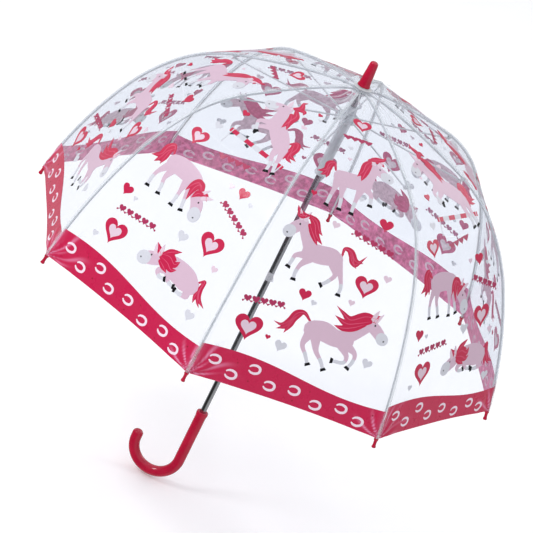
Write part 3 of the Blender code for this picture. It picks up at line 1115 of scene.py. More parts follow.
@dataclass(frozen=True)
class Pony:
    """A plain pony drawn with strokes of (u, v, half width), in millimetres on the gore's plane."""

    body: Stroke
    neck: Stroke
    head: Stroke
    ears: tuple[Stroke, ...]
    legs: tuple[Leg, ...]
    mane: tuple[Stroke, ...]
    tail: tuple[Stroke, ...]
    eye: tuple[float, float]

    def shapes(self) -> list[Shape]:
        """The pony's outlines, from the lowest ink to the highest.

        Returns:
            The shapes.
        """
        drawn = [Shape(stroke(lock), Ink.CRIMSON, k % 3) for k, lock in enumerate(self.tail)]
        drawn += [Shape(stroke([(u, v, w * 1.3) for u, v, w in ear], 3), Ink.PALE, 10) for ear in self.ears]
        for k, leg in enumerate(self.legs):
            drawn.append(Shape(stroke(leg.joints), Ink.PINK, 1 + k))
            line = spline(leg.joints, 8)
            low = line[int(len(line) * 0.60):]
            drawn.append(Shape(stroke([(u, v, w + 0.15) for u, v, w in low[::3]], 2), Ink.GREY, 5))
            end, way = line[-1], line[-1] - line[-3]
            drop = way[:2] / np.linalg.norm(way[:2])
            foot = end[:2] + drop * 1.6
            turn = math.degrees(math.atan2(drop[1], drop[0])) + 90 + leg.hoof_turn
            drawn.append(Shape(self.hoof(foot, turn), Ink.BLACK, 6))
        for layer, part in enumerate((self.body, self.neck, self.head), 5):
            drawn.append(Shape(stroke(part), Ink.PINK, layer))
        nose, back = self.head[-1], self.head[-2]
        slant = math.degrees(math.atan2(nose[1] - back[1], nose[0] - back[0]))
        drawn.append(Shape(oval(nose[0], nose[1], nose[2] * 1.36, nose[2] * 1.20, slant), Ink.GREY, 8))
        drawn += [Shape(stroke(lock), Ink.CRIMSON, 9 + k % 3) for k, lock in enumerate(self.mane)]
        for lock in (*self.tail, *self.mane):
            hair = [(u, v, 0.4 if 0 < k < len(lock) - 1 else 0.1) for k, (u, v, _) in enumerate(lock)]
            drawn.append(Shape(stroke(hair, 4), Ink.ROSE, 12))
        along = np.array((nose[0] - back[0], nose[1] - back[1]), float)
        along /= np.linalg.norm(along)
        nostril = np.array(nose[:2]) + along * nose[2] * 0.55
        drawn.append(Shape(oval(*nostril, 0.9, 1.2, slant, 10), Ink.BLACK, 9))
        drawn.append(Shape(oval(*self.eye, 1.15, 1.35, 0, 10), Ink.BLACK, 9))
        return drawn

    @staticmethod
    def hoof(foot: np.ndarray, turn: float) -> Outline:
        """A hoof: a short block, wider at its foot."""
        corners = np.array([(-2.9, 1.5), (2.9, 1.5), (3.9, -2.2), (-3.9, -2.2)])
        return set_down(corners, foot, turn)


GALLOPING = Pony(
    body=((-2, 104, 11.5), (12, 106, 12.5), (28, 103, 11.0), (43, 105, 11.0)),
    neck=((42, 109, 9.5), (55, 121, 7.8), (66, 133, 6.8)),
    head=((65, 134, 7.0), (75, 129, 7.6), (86, 121, 6.4)),
    ears=(((67, 141, 2.2), (69, 148, 1.8), (71, 154, 0.3)), ((72, 140, 2.0), (75, 146, 1.4), (78, 151, 0.3))),
    legs=(
        Leg(((-4, 97, 6.5), (-7, 82, 3.2), (1, 71, 2.3), (7, 62, 2.0))),
        Leg(((6, 94, 6.5), (12, 80, 3.4), (22, 70, 2.3), (28, 62, 2.0))),
        Leg(((40, 97, 6.0), (51, 86, 3.0), (50, 77, 2.3), (37, 75, 2.0))),
        Leg(((47, 99, 6.0), (60, 92, 3.0), (61, 82, 2.3), (58, 74, 2.0))),
    ),
    mane=(
        ((70, 143, 2.0), (56, 141, 5.5), (40, 131, 5.0), (28, 136, 2.4), (17, 142, 0.2)),
        ((64, 137, 3.0), (50, 130, 5.5), (36, 125, 4.5), (19, 130, 0.2)),
        ((58, 131, 3.0), (46, 123, 5.0), (33, 118, 3.6), (22, 118, 0.2)),
        ((68, 140, 2.5), (73, 145, 3.6), (71, 138, 1.0)),
    ),
    tail=(
        ((-9, 113, 1.4), (-19, 120, 2.6), (-28, 116, 4.4), (-33, 105, 4.2), (-41, 97, 2.2), (-52, 98, 0.2)),
        ((-22, 118, 2.4), (-30, 108, 4.6), (-35, 97, 3.4), (-46, 90, 0.2)),
        ((-27, 112, 2.4), (-31, 100, 3.6), (-35, 88, 0.2)),
    ),
    eye=(72.0, 134.5),
)

CANTERING = Pony(
    body=((-38, 195, 11.5), (-26, 195, 12.0), (-12, 197, 11.6), (-5, 196, 10.5)),
    neck=((-40, 199, 9.0), (-49, 211, 7.2), (-56, 223, 6.6)),
    head=((-57, 226, 7.0), (-65, 219, 7.4), (-72, 211, 6.6)),
    ears=(
        ((-56, 231, 2.0), (-54, 238, 1.6), (-51, 243, 0.3)),
        ((-62, 231, 2.0), (-64, 238, 1.4), (-66, 243, 0.3)),
    ),
    legs=(
        Leg(((-40, 189, 6.0), (-54, 185, 3.0), (-57, 177, 2.3), (-59, 170, 2.0))),
        Leg(((-37, 186, 6.0), (-45, 175, 3.0), (-48, 165, 2.3), (-48, 157, 2.0))),
        Leg(((-4, 188, 6.5), (1, 177, 3.2), (-5, 167, 2.3), (-11, 161, 2.0))),
        Leg(((0, 192, 6.5), (8, 178, 3.2), (13, 166, 2.3), (13, 157, 2.0))),
    ),
    mane=(
        ((-50, 236, 2.4), (-43, 229, 5.0), (-38, 217, 4.4), (-27, 208, 0.2)),
        ((-49, 226, 2.6), (-43, 218, 4.0), (-37, 210, 2.6), (-33, 205, 0.2)),
        ((-52, 238, 2.0), (-42, 234, 3.6), (-36, 224, 2.6), (-30, 219, 0.2)),
        ((-52, 236, 2.4), (-61, 236, 4.2), (-67, 240, 2.6), (-70, 246, 0.2)),
        ((-56, 237, 2.6), (-63, 234, 3.2), (-69, 236, 0.2)),
    ),
    tail=(
        ((2, 203, 1.3), (3, 213, 2.2), (12, 212, 4.0), (20, 203, 4.0), (31, 203, 0.2)),
        ((8, 213, 2.0), (16, 205, 4.2), (22, 198, 3.0), (33, 213, 0.2)),
        ((12, 208, 2.0), (17, 200, 3.4), (24, 194, 0.2)),
    ),
    eye=(-61.5, 223.5),
)

TROTTING = Pony(
    body=((-24, 306, 11.0), (-12, 306, 12.0), (0, 307, 11.6), (8, 308, 10.5)),
    neck=((8, 312, 9.5), (13, 325, 8.0), (18, 339, 7.0)),
    head=((19, 341, 7.4), (27, 337, 8.0), (36, 331, 7.0)),
    ears=(((17, 348, 2.2), (15, 355, 1.8), (14, 361, 0.3)), ((24, 348, 2.2), (27, 355, 1.8), (32, 360, 0.3))),
    legs=(
        Leg(((-28, 299, 6.0), (-31, 284, 3.0), (-34, 272, 2.3), (-36, 262, 2.0))),
        Leg(((-20, 297, 6.0), (-20, 283, 3.2), (-19, 272, 2.3), (-19, 262, 2.0))),
        Leg(((4, 299, 6.0), (1, 285, 3.2), (-1, 273, 2.3), (-2, 262, 2.0))),
        Leg(((11, 301, 5.6), (18, 294, 3.0), (19, 287, 2.3), (19, 281, 2.0))),
    ),
    mane=(
        ((14, 352, 2.4), (6, 341, 4.4), (3, 328, 4.6), (-4, 316, 0.2)),
        ((12, 343, 2.6), (7, 330, 4.6), (4, 319, 3.2), (2, 311, 0.2)),
        ((10, 352, 2.0), (20, 358, 4.4), (29, 362, 2.6), (33, 368, 0.2)),
        ((16, 353, 2.6), (25, 355, 3.6), (31, 350, 0.2)),
    ),
    tail=(
        ((-33, 314, 1.3), (-36, 325, 2.4), (-43, 320, 4.0), (-46, 309, 3.6), (-57, 303, 0.2)),
        ((-38, 323, 2.0), (-43, 312, 4.2), (-47, 303, 2.8), (-52, 299, 0.2)),
        ((-41, 316, 2.0), (-43, 304, 3.0), (-44, 297, 0.2)),
    ),
    eye=(25.5, 341.5),
)

RESTING = Pony(
    body=((32, 92, 14.0), (46, 92, 15.0), (60, 90, 15.0), (68, 88, 12.5)),
    neck=((30, 94, 10.5), (18, 92, 8.5), (7, 88, 7.6)),
    head=((9, 88, 8.2), (0, 84, 8.8), (-9, 79, 7.6)),
    ears=(((8, 95, 2.2), (7, 102, 1.8), (6, 108, 0.3)), ((1, 93, 2.0), (-2, 99, 1.6), (-4, 104, 0.3))),
    legs=(
        Leg(((27, 84, 5.6), (18, 77, 3.2), (24, 72, 2.4), (31, 73, 2.1)), 15.0),
        Leg(((34, 80, 5.0), (36, 76, 3.0), (42, 73, 2.3), (47, 73, 2.1)), 10.0),
        Leg(((66, 82, 6.0), (72, 74, 3.6), (62, 71, 2.6), (55, 71, 2.1))),
    ),
    mane=(
        ((9, 96, 2.4), (22, 100, 6.0), (33, 96, 5.0), (38, 103, 0.2)),
        ((12, 93, 3.0), (24, 92, 6.0), (33, 88, 3.6), (40, 92, 0.2)),
        ((14, 88, 3.0), (22, 85, 4.0), (30, 81, 0.2)),
        ((10, 95, 2.4), (3, 99, 3.8), (-4, 105, 0.2)),
        ((12, 98, 2.4), (20, 106, 4.0), (32, 114, 0.2)),
    ),
    tail=(
        ((76, 98, 1.3), (82, 103, 2.2), (83, 92, 3.4), (88, 82, 3.2), (101, 76, 0.2)),
        ((81, 100, 1.6), (83, 88, 3.6), (89, 78, 2.0), (95, 73, 0.2)),
        ((82, 92, 1.6), (82, 82, 3.0), (84, 73, 0.2)),
    ),
    eye=(-1.5, 87.5),
)

GRAZING = Pony(
    body=((-54, 197, 11.5), (-42, 198, 12.5), (-28, 197, 12.0), (-17, 195, 11.0)),
    neck=((-16, 195, 9.5), (-6, 186, 8.0), (3, 176, 7.4)),
    head=((3, 177, 8.0), (9, 170, 8.4), (13, 160, 7.4)),
    ears=(((9, 183, 2.2), (15, 187, 1.8), (21, 190, 0.3)), ((3, 186, 2.0), (7, 192, 1.6), (10, 197, 0.3))),
    legs=(
        Leg(((-58, 189, 6.0), (-65, 176, 3.0), (-67, 165, 2.3), (-66, 155, 2.0))),
        Leg(((-50, 187, 6.0), (-52, 174, 3.0), (-49, 164, 2.3), (-47, 155, 2.0))),
        Leg(((-24, 187, 6.0), (-23, 174, 3.0), (-22, 164, 2.3), (-22, 154, 2.0))),
        Leg(((-16, 187, 5.6), (-13, 175, 3.0), (-10, 165, 2.3), (-7, 156, 2.0))),
    ),
    mane=(
        ((3, 188, 2.4), (-5, 195, 5.4), (-10, 187, 5.0), (-9, 169, 0.2)),
        ((0, 189, 2.6), (-8, 196, 5.0), (-14, 190, 4.0), (-18, 178, 0.2)),
        ((4, 186, 3.0), (-1, 184, 4.4), (-5, 175, 0.2)),
        ((3, 187, 2.6), (10, 188, 3.4), (15, 183, 0.2)),
    ),
    tail=(
        ((-63, 205, 1.3), (-70, 214, 2.6), (-76, 207, 4.4), (-77, 195, 4.4), (-88, 187, 0.2)),
        ((-67, 212, 2.0), (-73, 202, 4.6), (-75, 190, 3.4), (-79, 182, 0.2)),
        ((-70, 208, 2.0), (-70, 195, 3.6), (-70, 184, 0.2)),
    ),
    eye=(8.0, 175.5),
)

JUMPING = Pony(
    body=((32, 305, 11.5), (22, 314, 12.5), (9, 324, 12.0), (0, 331, 10.8)),
    neck=((-1, 335, 9.5), (-7, 349, 7.8), (-11, 361, 7.2)),
    head=((-11, 363, 7.6), (-20, 359, 8.0), (-29, 353, 7.0)),
    ears=(
        ((-8, 370, 2.2), (-6, 377, 1.8), (-4, 383, 0.3)),
        ((-14, 371, 2.0), (-16, 378, 1.6), (-18, 384, 0.3)),
    ),
    legs=(
        Leg(((-4, 326, 6.0), (-17, 317, 3.0), (-14, 309, 2.3), (-9, 302, 2.0))),
        Leg(((3, 320, 6.0), (-10, 309, 3.0), (-15, 303, 2.3), (-9, 299, 2.0)), 20.0),
        Leg(((34, 297, 6.5), (36, 285, 3.4), (43, 274, 2.3), (46, 264, 2.0)), 10.0),
        Leg(((40, 302, 6.0), (46, 288, 3.4), (50, 276, 2.3), (55, 266, 2.0)), 10.0),
    ),
    mane=(
        ((-2, 372, 2.4), (6, 362, 4.8), (8, 348, 5.0), (17, 331, 0.2)),
        ((0, 360, 2.6), (7, 350, 4.6), (9, 339, 3.0), (10, 329, 0.2)),
        ((-6, 373, 2.6), (-2, 382, 3.8), (-7, 392, 2.0), (-5, 398, 0.2)),
        ((-5, 374, 2.6), (4, 380, 3.4), (8, 374, 0.2)),
    ),
    tail=(
        ((38, 315, 1.3), (44, 324, 2.6), (50, 316, 4.2), (52, 302, 4.2), (64, 299, 0.2)),
        ((41, 321, 2.0), (48, 309, 4.4), (53, 296, 3.2), (62, 293, 0.2)),
        ((45, 316, 2.0), (47, 300, 3.6), (50, 290, 0.2)),
    ),
    eye=(-18.0, 363.5),
)


@dataclass(frozen=True)
class Garland:
    """A thread of small hearts and beads, in place of lettering."""

    u: float
    v: float
    length: float
    slope: float = 0.0
    hearts: int = 5
    sag: float = 1.6

    def placed(self, points: np.ndarray) -> np.ndarray:
        """Turns points of the level garland to its slope and its middle."""
        return set_down(points, (self.u, self.v), self.slope)

    def shapes(self, heart: Outline) -> list[Shape]:
        """The thread, its hearts and the beads between them.

        Args:
            heart: a heart 1 mm wide.

        Returns:
            The shapes.
        """
        t = np.linspace(-0.5, 0.5, 2 * self.hearts + 1)
        line = np.stack([t * self.length, self.sag * np.cos(t * 2 * math.pi * self.hearts)], 1)
        thread = np.concatenate([self.placed(line), np.full((len(t), 1), 0.55)], 1)
        drawn = [Shape(stroke(thread, 4), Ink.BERRY, 1)]
        for k, (x, y) in enumerate(line):
            bead = oval(0, 0, 1.3, 1.3, 0, 12) if k % 2 == 0 else heart * 10.0
            drawn.append(Shape(self.placed(bead + (x, y)), Ink.BERRY, 2))
        return drawn


@dataclass(frozen=True)
class Picture:
    """What is printed on a gore above its border."""

    ponies: tuple[Pony, ...]
    framed_hearts: tuple[Spot, ...]
    crimson_hearts: tuple[Spot, ...]
    grey_hearts: tuple[Spot, ...]
    pink_hearts: tuple[Spot, ...]
    garlands: tuple[Garland, ...]
    pole: tuple[float, float, float] | None = None


RIDING = Picture(
    ponies=(GALLOPING, CANTERING, TROTTING),
    framed_hearts=(Spot(-80, 79, 36, 5), Spot(44, 175, 31, 3), Spot(-2, 414, 26)),
    crimson_hearts=(Spot(-27, 141, 16.5), Spot(46, 260, 19), Spot(-52, 76, 7), Spot(-55, 269, 8)),
    grey_hearts=(Spot(-33, 70, 16, -8), Spot(79, 85, 14, -10), Spot(-13, 135, 8, -15), Spot(7, 284, 8),
                 Spot(-16, 362, 7), Spot(-60, 393, 6)),
    pink_hearts=(Spot(-17, 238, 11, -10), Spot(67, 194, 11), Spot(33, 151, 9), Spot(-16, 341, 6)),
    garlands=(Garland(-72, 115, 54, 8), Garland(36, 230, 60, -12), Garland(-7, 384, 38, 4, 4)),
)

LEAPING = Picture(
    ponies=(RESTING, GRAZING, JUMPING),
    framed_hearts=(Spot(-64, 79, 35, 3), Spot(58, 142, 35, 4), Spot(-55, 242, 27, 2)),
    crimson_hearts=(Spot(-84, 132, 16.5, -6), Spot(48, 219, 17, 3), Spot(-37, 311, 11), Spot(20, 394, 7)),
    grey_hearts=(Spot(19, 129, 16), Spot(90, 57, 15), Spot(-86, 63, 9), Spot(-47, 271, 12),
                 Spot(-67, 129, 7), Spot(66, 213, 7)),
    pink_hearts=(Spot(82, 122, 10), Spot(28, 218, 8), Spot(26, 355, 9), Spot(-28, 341, 6)),
    garlands=(Garland(-49, 111, 62, 7), Garland(60, 186, 58, -18), Garland(6, 247, 46, 13, 4)),
    pole=(14, 279, 92),
)


class Half(Enum):
    """The two lengths of a gore, above and below where it folds."""

    INNER = "inner"
    OUTER = "outer"


@dataclass
class Flat:
    """A drawing cut into small faces: points in metres, faces, ink and layer of each face."""

    points: np.ndarray
    faces: list[tuple[int, ...]]
    inks: list[Ink]
    layers: list[int]


@dataclass
class Print:
    """The print on the gores: pictures drawn flat once, then laid on each gore of their kind."""

    shop: Workshop
    dome: Dome
    row: float = 6 * MM
    column: float = 10 * MM
    film: float = 0.10 * MM
    clear: float = 0.08 * MM
    coat: float = 0.02 * MM
    fold_gap: float = 0.35 * MM
    shoes: tuple[tuple[float, float], ...] = (
        (-103, 28), (-77, 16), (-51, 32), (-26, 18), (6, 23), (38, 14), (71, 21), (97, 12),
    )
    specks: tuple[tuple[float, float], ...] = (
        (-77, 37), (-75, 33), (-54, 15), (-22, 35), (25, 28), (8, 10), (-2, 10), (66, 7), (112, 26),
    )

    def stamped(
        self, outline: Outline, spots: Sequence[Spot], ink: Ink, layer: int, scale: float = 1.0
    ) -> list[Shape]:
        """Copies of an outline, set out by the stamp tool.

        Args:
            outline: the stamp, 1 mm wide.
            spots: where the copies go.
            ink: their ink.
            layer: how many inks lie under them.
            scale: what every width is multiplied by.

        Returns:
            The shapes.
        """
        mesh = bpy.data.meshes.new("stamp")
        mesh.from_pydata([(u, v, 0) for u, v in outline], [], [tuple(range(len(outline)))])
        stamp = shown("stamp", mesh)
        base = points_mesh(
            np.array([(s.u, s.v, 0) for s in spots]), False,
            size=[s.width * scale for s in spots], turn=[math.radians(s.turn) for s in spots],
        )
        given = {"Stamp": stamp, "Finish": self.shop.finishes.fronts[ink]}
        made = self.shop.stamps.run("stamps", base, given)
        places = np.array([v.co[:2] for v in made.data.vertices])
        shapes = [Shape(places[list(p.vertices)], ink, layer) for p in made.data.polygons]
        for obj in (made, stamp):
            bpy.data.objects.remove(obj, do_unlink=True)
        return shapes

    def border_shapes(self) -> list[Shape]:
        """Two staggered rows of horseshoes and a few dark specks, along the border.

        Returns:
            The shapes.
        """
        turns = (4, -3, 6, 2, 0, 5, -2, 3)
        spots = [Spot(u, v, 15.5, turn) for (u, v), turn in zip(self.shoes, turns, strict=True)]
        specks = [Spot(u, v, 1.2 + 0.5 * (k % 3)) for k, (u, v) in enumerate(self.specks)]
        shapes = self.stamped(horseshoe_outline(), spots, Ink.WHITE, 1)
        return shapes + self.stamped(oval(0, 0, 0.5, 0.5, 0, 9), specks, Ink.WINE, 1)

    def picture_shapes(self, picture: Picture) -> list[Shape]:
        """Every shape of a picture.

        Args:
            picture: what to draw.

        Returns:
            The shapes.
        """
        heart, inner = heart_outline(), 0.56
        shapes = [shape for pony in picture.ponies for shape in pony.shapes()]
        shapes += self.stamped(heart, picture.framed_hearts, Ink.CRIMSON, 0)
        shapes += self.stamped(heart, picture.framed_hearts, Ink.PALE, 1, inner)
        shapes += self.stamped(heart, picture.crimson_hearts, Ink.CRIMSON, 12)
        shapes += self.stamped(heart, picture.grey_hearts, Ink.GREY, 0)
        shapes += self.stamped(heart, picture.pink_hearts, Ink.PALE, 0)
        for garland in picture.garlands:
            shapes += garland.shapes(heart)
        if picture.pole:
            shapes += self.pole_shapes(*picture.pole)
        return shapes

    @staticmethod
    def pole_shapes(u: float, v: float, length: float) -> list[Shape]:
        """A striped pole: crimson and pale blocks in turn, with two thin posts.

        Args:
            u: its middle, to the right.
            v: its height.
            length: its length.

        Returns:
            The shapes.
        """
        shapes, blocks = [], 7
        for k in range(blocks):
            left = u - length / 2 + k * length / blocks
            right = left + length / blocks - 0.2
            corners = np.array([(left, v - 3.2), (right, v - 3.2), (right, v + 3.2), (left, v + 3.2)])
            shapes.append(Shape(corners, Ink.GREY if k % 2 else Ink.CRIMSON, 0))
        for side in (-1, 1):
            x = u + side * length * 0.46
            post = stroke([(x, v + 4, 0.6), (x, v - 10, 0.6), (x, v - 22, 0.6)], 3)
            shapes.append(Shape(post, Ink.GREY, 3))
        return shapes

    def flattened(self, shapes: Iterable[Shape], half: Half) -> Flat:
        """Cuts the shapes into small faces, and keeps those on one length of the gore.

        Args:
            shapes: the outlines, in millimetres.
            half: which length.

        Returns:
            The flat drawing.
        """
        fold = self.dome.length / 2
        flat = Flat(np.zeros((0, 2)), [], [], [])
        points: list[np.ndarray] = []
        count = 0
        for shape in shapes:
            outline = shape.outline * MM
            low, high = outline[:, 1].min(), outline[:, 1].max()
            if (half is Half.OUTER and low > fold) or (half is Half.INNER and high < fold):
                continue
            bm = bmesh.new()
            face = bm.faces.new([bm.verts.new((u, v, 0)) for u, v in outline])
            bmesh.ops.triangulate(bm, faces=[face], ngon_method="EAR_CLIP")
            self.slice(bm, outline)
            outside = half is Half.OUTER
            every = [*bm.verts, *bm.edges, *bm.faces]
            keep = {"clear_outer": outside, "clear_inner": not outside}
            line = (0, fold - self.fold_gap if outside else fold + self.fold_gap, 0)
            bmesh.ops.bisect_plane(bm, geom=every, plane_co=line, plane_no=(0, 1, 0), **keep)
            if not bm.faces:
                bm.free()
                continue
            bmesh.ops.remove_doubles(bm, verts=bm.verts, dist=1e-7)
            bm.verts.index_update()
            points.append(np.array([v.co[:2] for v in bm.verts]).reshape(-1, 2))
            for face in bm.faces:
                flat.faces.append(tuple(count + v.index for v in face.verts))
                flat.inks.append(shape.ink)
                flat.layers.append(shape.layer)
            count += len(bm.verts)
            bm.free()
        flat.points = np.concatenate(points)
        return flat

    def slice(self, bm: bmesh.types.BMesh, outline: np.ndarray) -> None:
        """Cuts a flat shape along rows and columns, so that it can follow the film."""
        for axis, pitch in ((0, self.column), (1, self.row)):
            first = math.ceil(outline[:, axis].min() / pitch)
            last = math.floor(outline[:, axis].max() / pitch)
            for k in range(first, last + 1):
                where, way = [0.0, 0.0, 0.0], [0.0, 0.0, 0.0]
                where[axis], way[axis] = k * pitch, 1.0
                every = [*bm.verts, *bm.edges, *bm.faces]
                bmesh.ops.bisect_plane(bm, geom=every, plane_co=where, plane_no=way)

    def laid(self, name: str, flat: Flat, gore: int) -> Object:
        """Lays a flat drawing on a gore, right through its film, with a front and a back.

        Args:
            name: the piece's name.
            flat: the drawing.
            gore: the gore's number.

        Returns:
            The piece.
        """
        level = np.zeros(len(flat.points))
        for face, layer in zip(flat.faces, flat.layers, strict=True):
            level[list(face)] = layer
        stand = self.film + self.clear + self.coat * level
        u, v = flat.points[:, 0], flat.points[:, 1]
        points = np.concatenate([self.dome.place(gore, u, v, stand), self.dome.place(gore, u, v, -stand)])
        count = len(flat.points)
        fronts = [2 * list(Ink).index(ink) for ink in flat.inks]
        edges: dict[tuple[int, int], int] = {}
        for face, mark in zip(flat.faces, fronts, strict=True):
            for a, b in zip(face, (*face[1:], face[0]), strict=True):
                if (b, a) in edges:
                    del edges[(b, a)]
                else:
                    edges[(a, b)] = mark
        faces = [*flat.faces, *(tuple(count + i for i in reversed(face)) for face in flat.faces)]
        faces += [(b, a, a + count, b + count) for a, b in edges]
        marks = [*fronts, *(mark + 1 for mark in fronts), *edges.values()]
        done = self.shop.finishes
        finishes = [finish for ink in Ink for finish in (done.fronts[ink], done.backs[ink])]
        return piece_from(name, points, faces, finishes, marks, sharp=30)


# ---------------------------------------------------------------- the canopy


@dataclass
class Canopy:
    """The eight gores of printed film, in two lengths each."""

    shop: Workshop
    dome: Dome
    thick: float = 0.20 * MM
    keep: float = 0.125
    columns: int = 81
    start: float = 9.7 * MM
    gather: float = 110 * MM
    fold_gap: float = 0.2 * MM
    inner_rows: tuple[int, int] = (30, 44)
    outer_rows: tuple[int, int] = (24, 38)

    def grid(self, half: Half) -> tuple[np.ndarray, np.ndarray, int]:
        """The drawing grid of one length of film.

        Args:
            half: which length.

        Returns:
            u and v for every row and column, and how many rows lie in the border.
        """
        t = np.linspace(-1, 1, self.columns)
        across = 0.6 * t + 0.4 * np.sin(math.pi / 2 * t)
        length, fold = self.dome.length, self.dome.length / 2
        if half is Half.INNER:
            gathered = length - self.gather
            rows = np.linspace(fold + self.fold_gap, gathered, self.inner_rows[0])
            rows = np.concatenate([rows, np.linspace(gathered, length - self.start, self.inner_rows[1])[1:]])
            v = np.repeat(rows[:, None], self.columns, 1)
            return across * self.dome.half_width(v), v, 0
        rim = across * float(self.dome.half_width(0.0))
        low, high = self.dome.edge(rim), self.dome.border(rim)
        border_rows, upper_rows = self.outer_rows
        share = np.linspace(0, 1, border_rows + 1)[:, None]
        border = low + (high - low) * share
        share = np.linspace(0, 1, upper_rows + 1)[1:, None]
        upper = high + (fold - self.fold_gap - high) * share
        v = np.concatenate([border, upper])
        return across * self.dome.half_width(v), v, border_rows

    def film_piece(self, name: str, gore: int, half: Half) -> Object:
        """One length of a gore's film, with its border's ink.

        Args:
            name: the piece's name.
            gore: the gore's number.
            half: which length.

        Returns:
            The piece.
        """
        u, v, border_rows = self.grid(half)
        rows, columns = u.shape
        skins = [self.dome.place(gore, u, v, side * self.thick / 2).reshape(-1, 3) for side in (1, -1)]
        index = np.arange(rows * columns).reshape(rows, columns)
        quads = np.stack([index[:-1, :-1], index[:-1, 1:], index[1:, 1:], index[1:, :-1]], -1).reshape(-1, 4)
        inked = np.repeat(np.arange(rows - 1) < border_rows, columns - 1)
        count = rows * columns
        faces = [*quads.tolist(), *(quads[:, ::-1] + count).tolist()]
        marks = [*(inked * 1).tolist(), *(inked * 2).tolist()]
        loop = [*index[0], *index[1:, -1], *index[-1, -2::-1], *index[-2:0:-1, 0]]
        for a, b in zip(loop, (*loop[1:], loop[0]), strict=True):
            faces.append((b, a, a + count, b + count))
            marks.append(1 if a < border_rows * columns else 0)
        done = self.shop.finishes
        finishes = [done.film, done.band, done.band_back]
        values = {"crinkle": np.tile(self.dome.painted_glint(u, v, gore).ravel(), 2)}
        return piece_from(name, np.concatenate(skins), faces, finishes, marks, 60, values)

    def flat_size(self, half: Half) -> tuple[tuple[float, float], float]:
        """The cut size of one length of film.

        Args:
            half: which length.

        Returns:
            (width, length) and the area.
        """
        u, v, _ = self.grid(half)
        wide, middle = u[:, -1] - u[:, 0], v[:, self.columns // 2]
        area = float(((wide[1:] + wide[:-1]) / 2 * np.diff(middle)).sum())
        return (float(np.ptp(u)), float(np.ptp(v))), area

    def build_gores(self) -> list[Object]:
        """Makes all the film and its print, and ties each piece to its body.

        Returns:
            The pieces.
        """
        press = Print(self.shop, self.dome)
        pieces, drawings = [], {}
        for label, picture in (("riding", RIDING), ("leaping", LEAPING)):
            shapes = press.picture_shapes(picture)
            drawings[label, Half.INNER] = press.flattened(shapes, Half.INNER)
            drawings[label, Half.OUTER] = press.flattened(shapes + press.border_shapes(), Half.OUTER)
        for gore in range(1, RIBS + 1):
            for half in Half:
                node = f"panel_{gore}_{half.value}"
                film = self.film_piece(f"film_{gore}_{half.value}", gore, half)
                label = "riding" if gore % 2 else "leaping"
                picture = press.laid(f"print_{gore}_{half.value}", drawings[label, half], gore)
                for piece in (film, picture):
                    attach(piece, node)
                    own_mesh(piece)
                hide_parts(node)
                flat, area = self.flat_size(half)
                pieces += [film, picture]
        return pieces


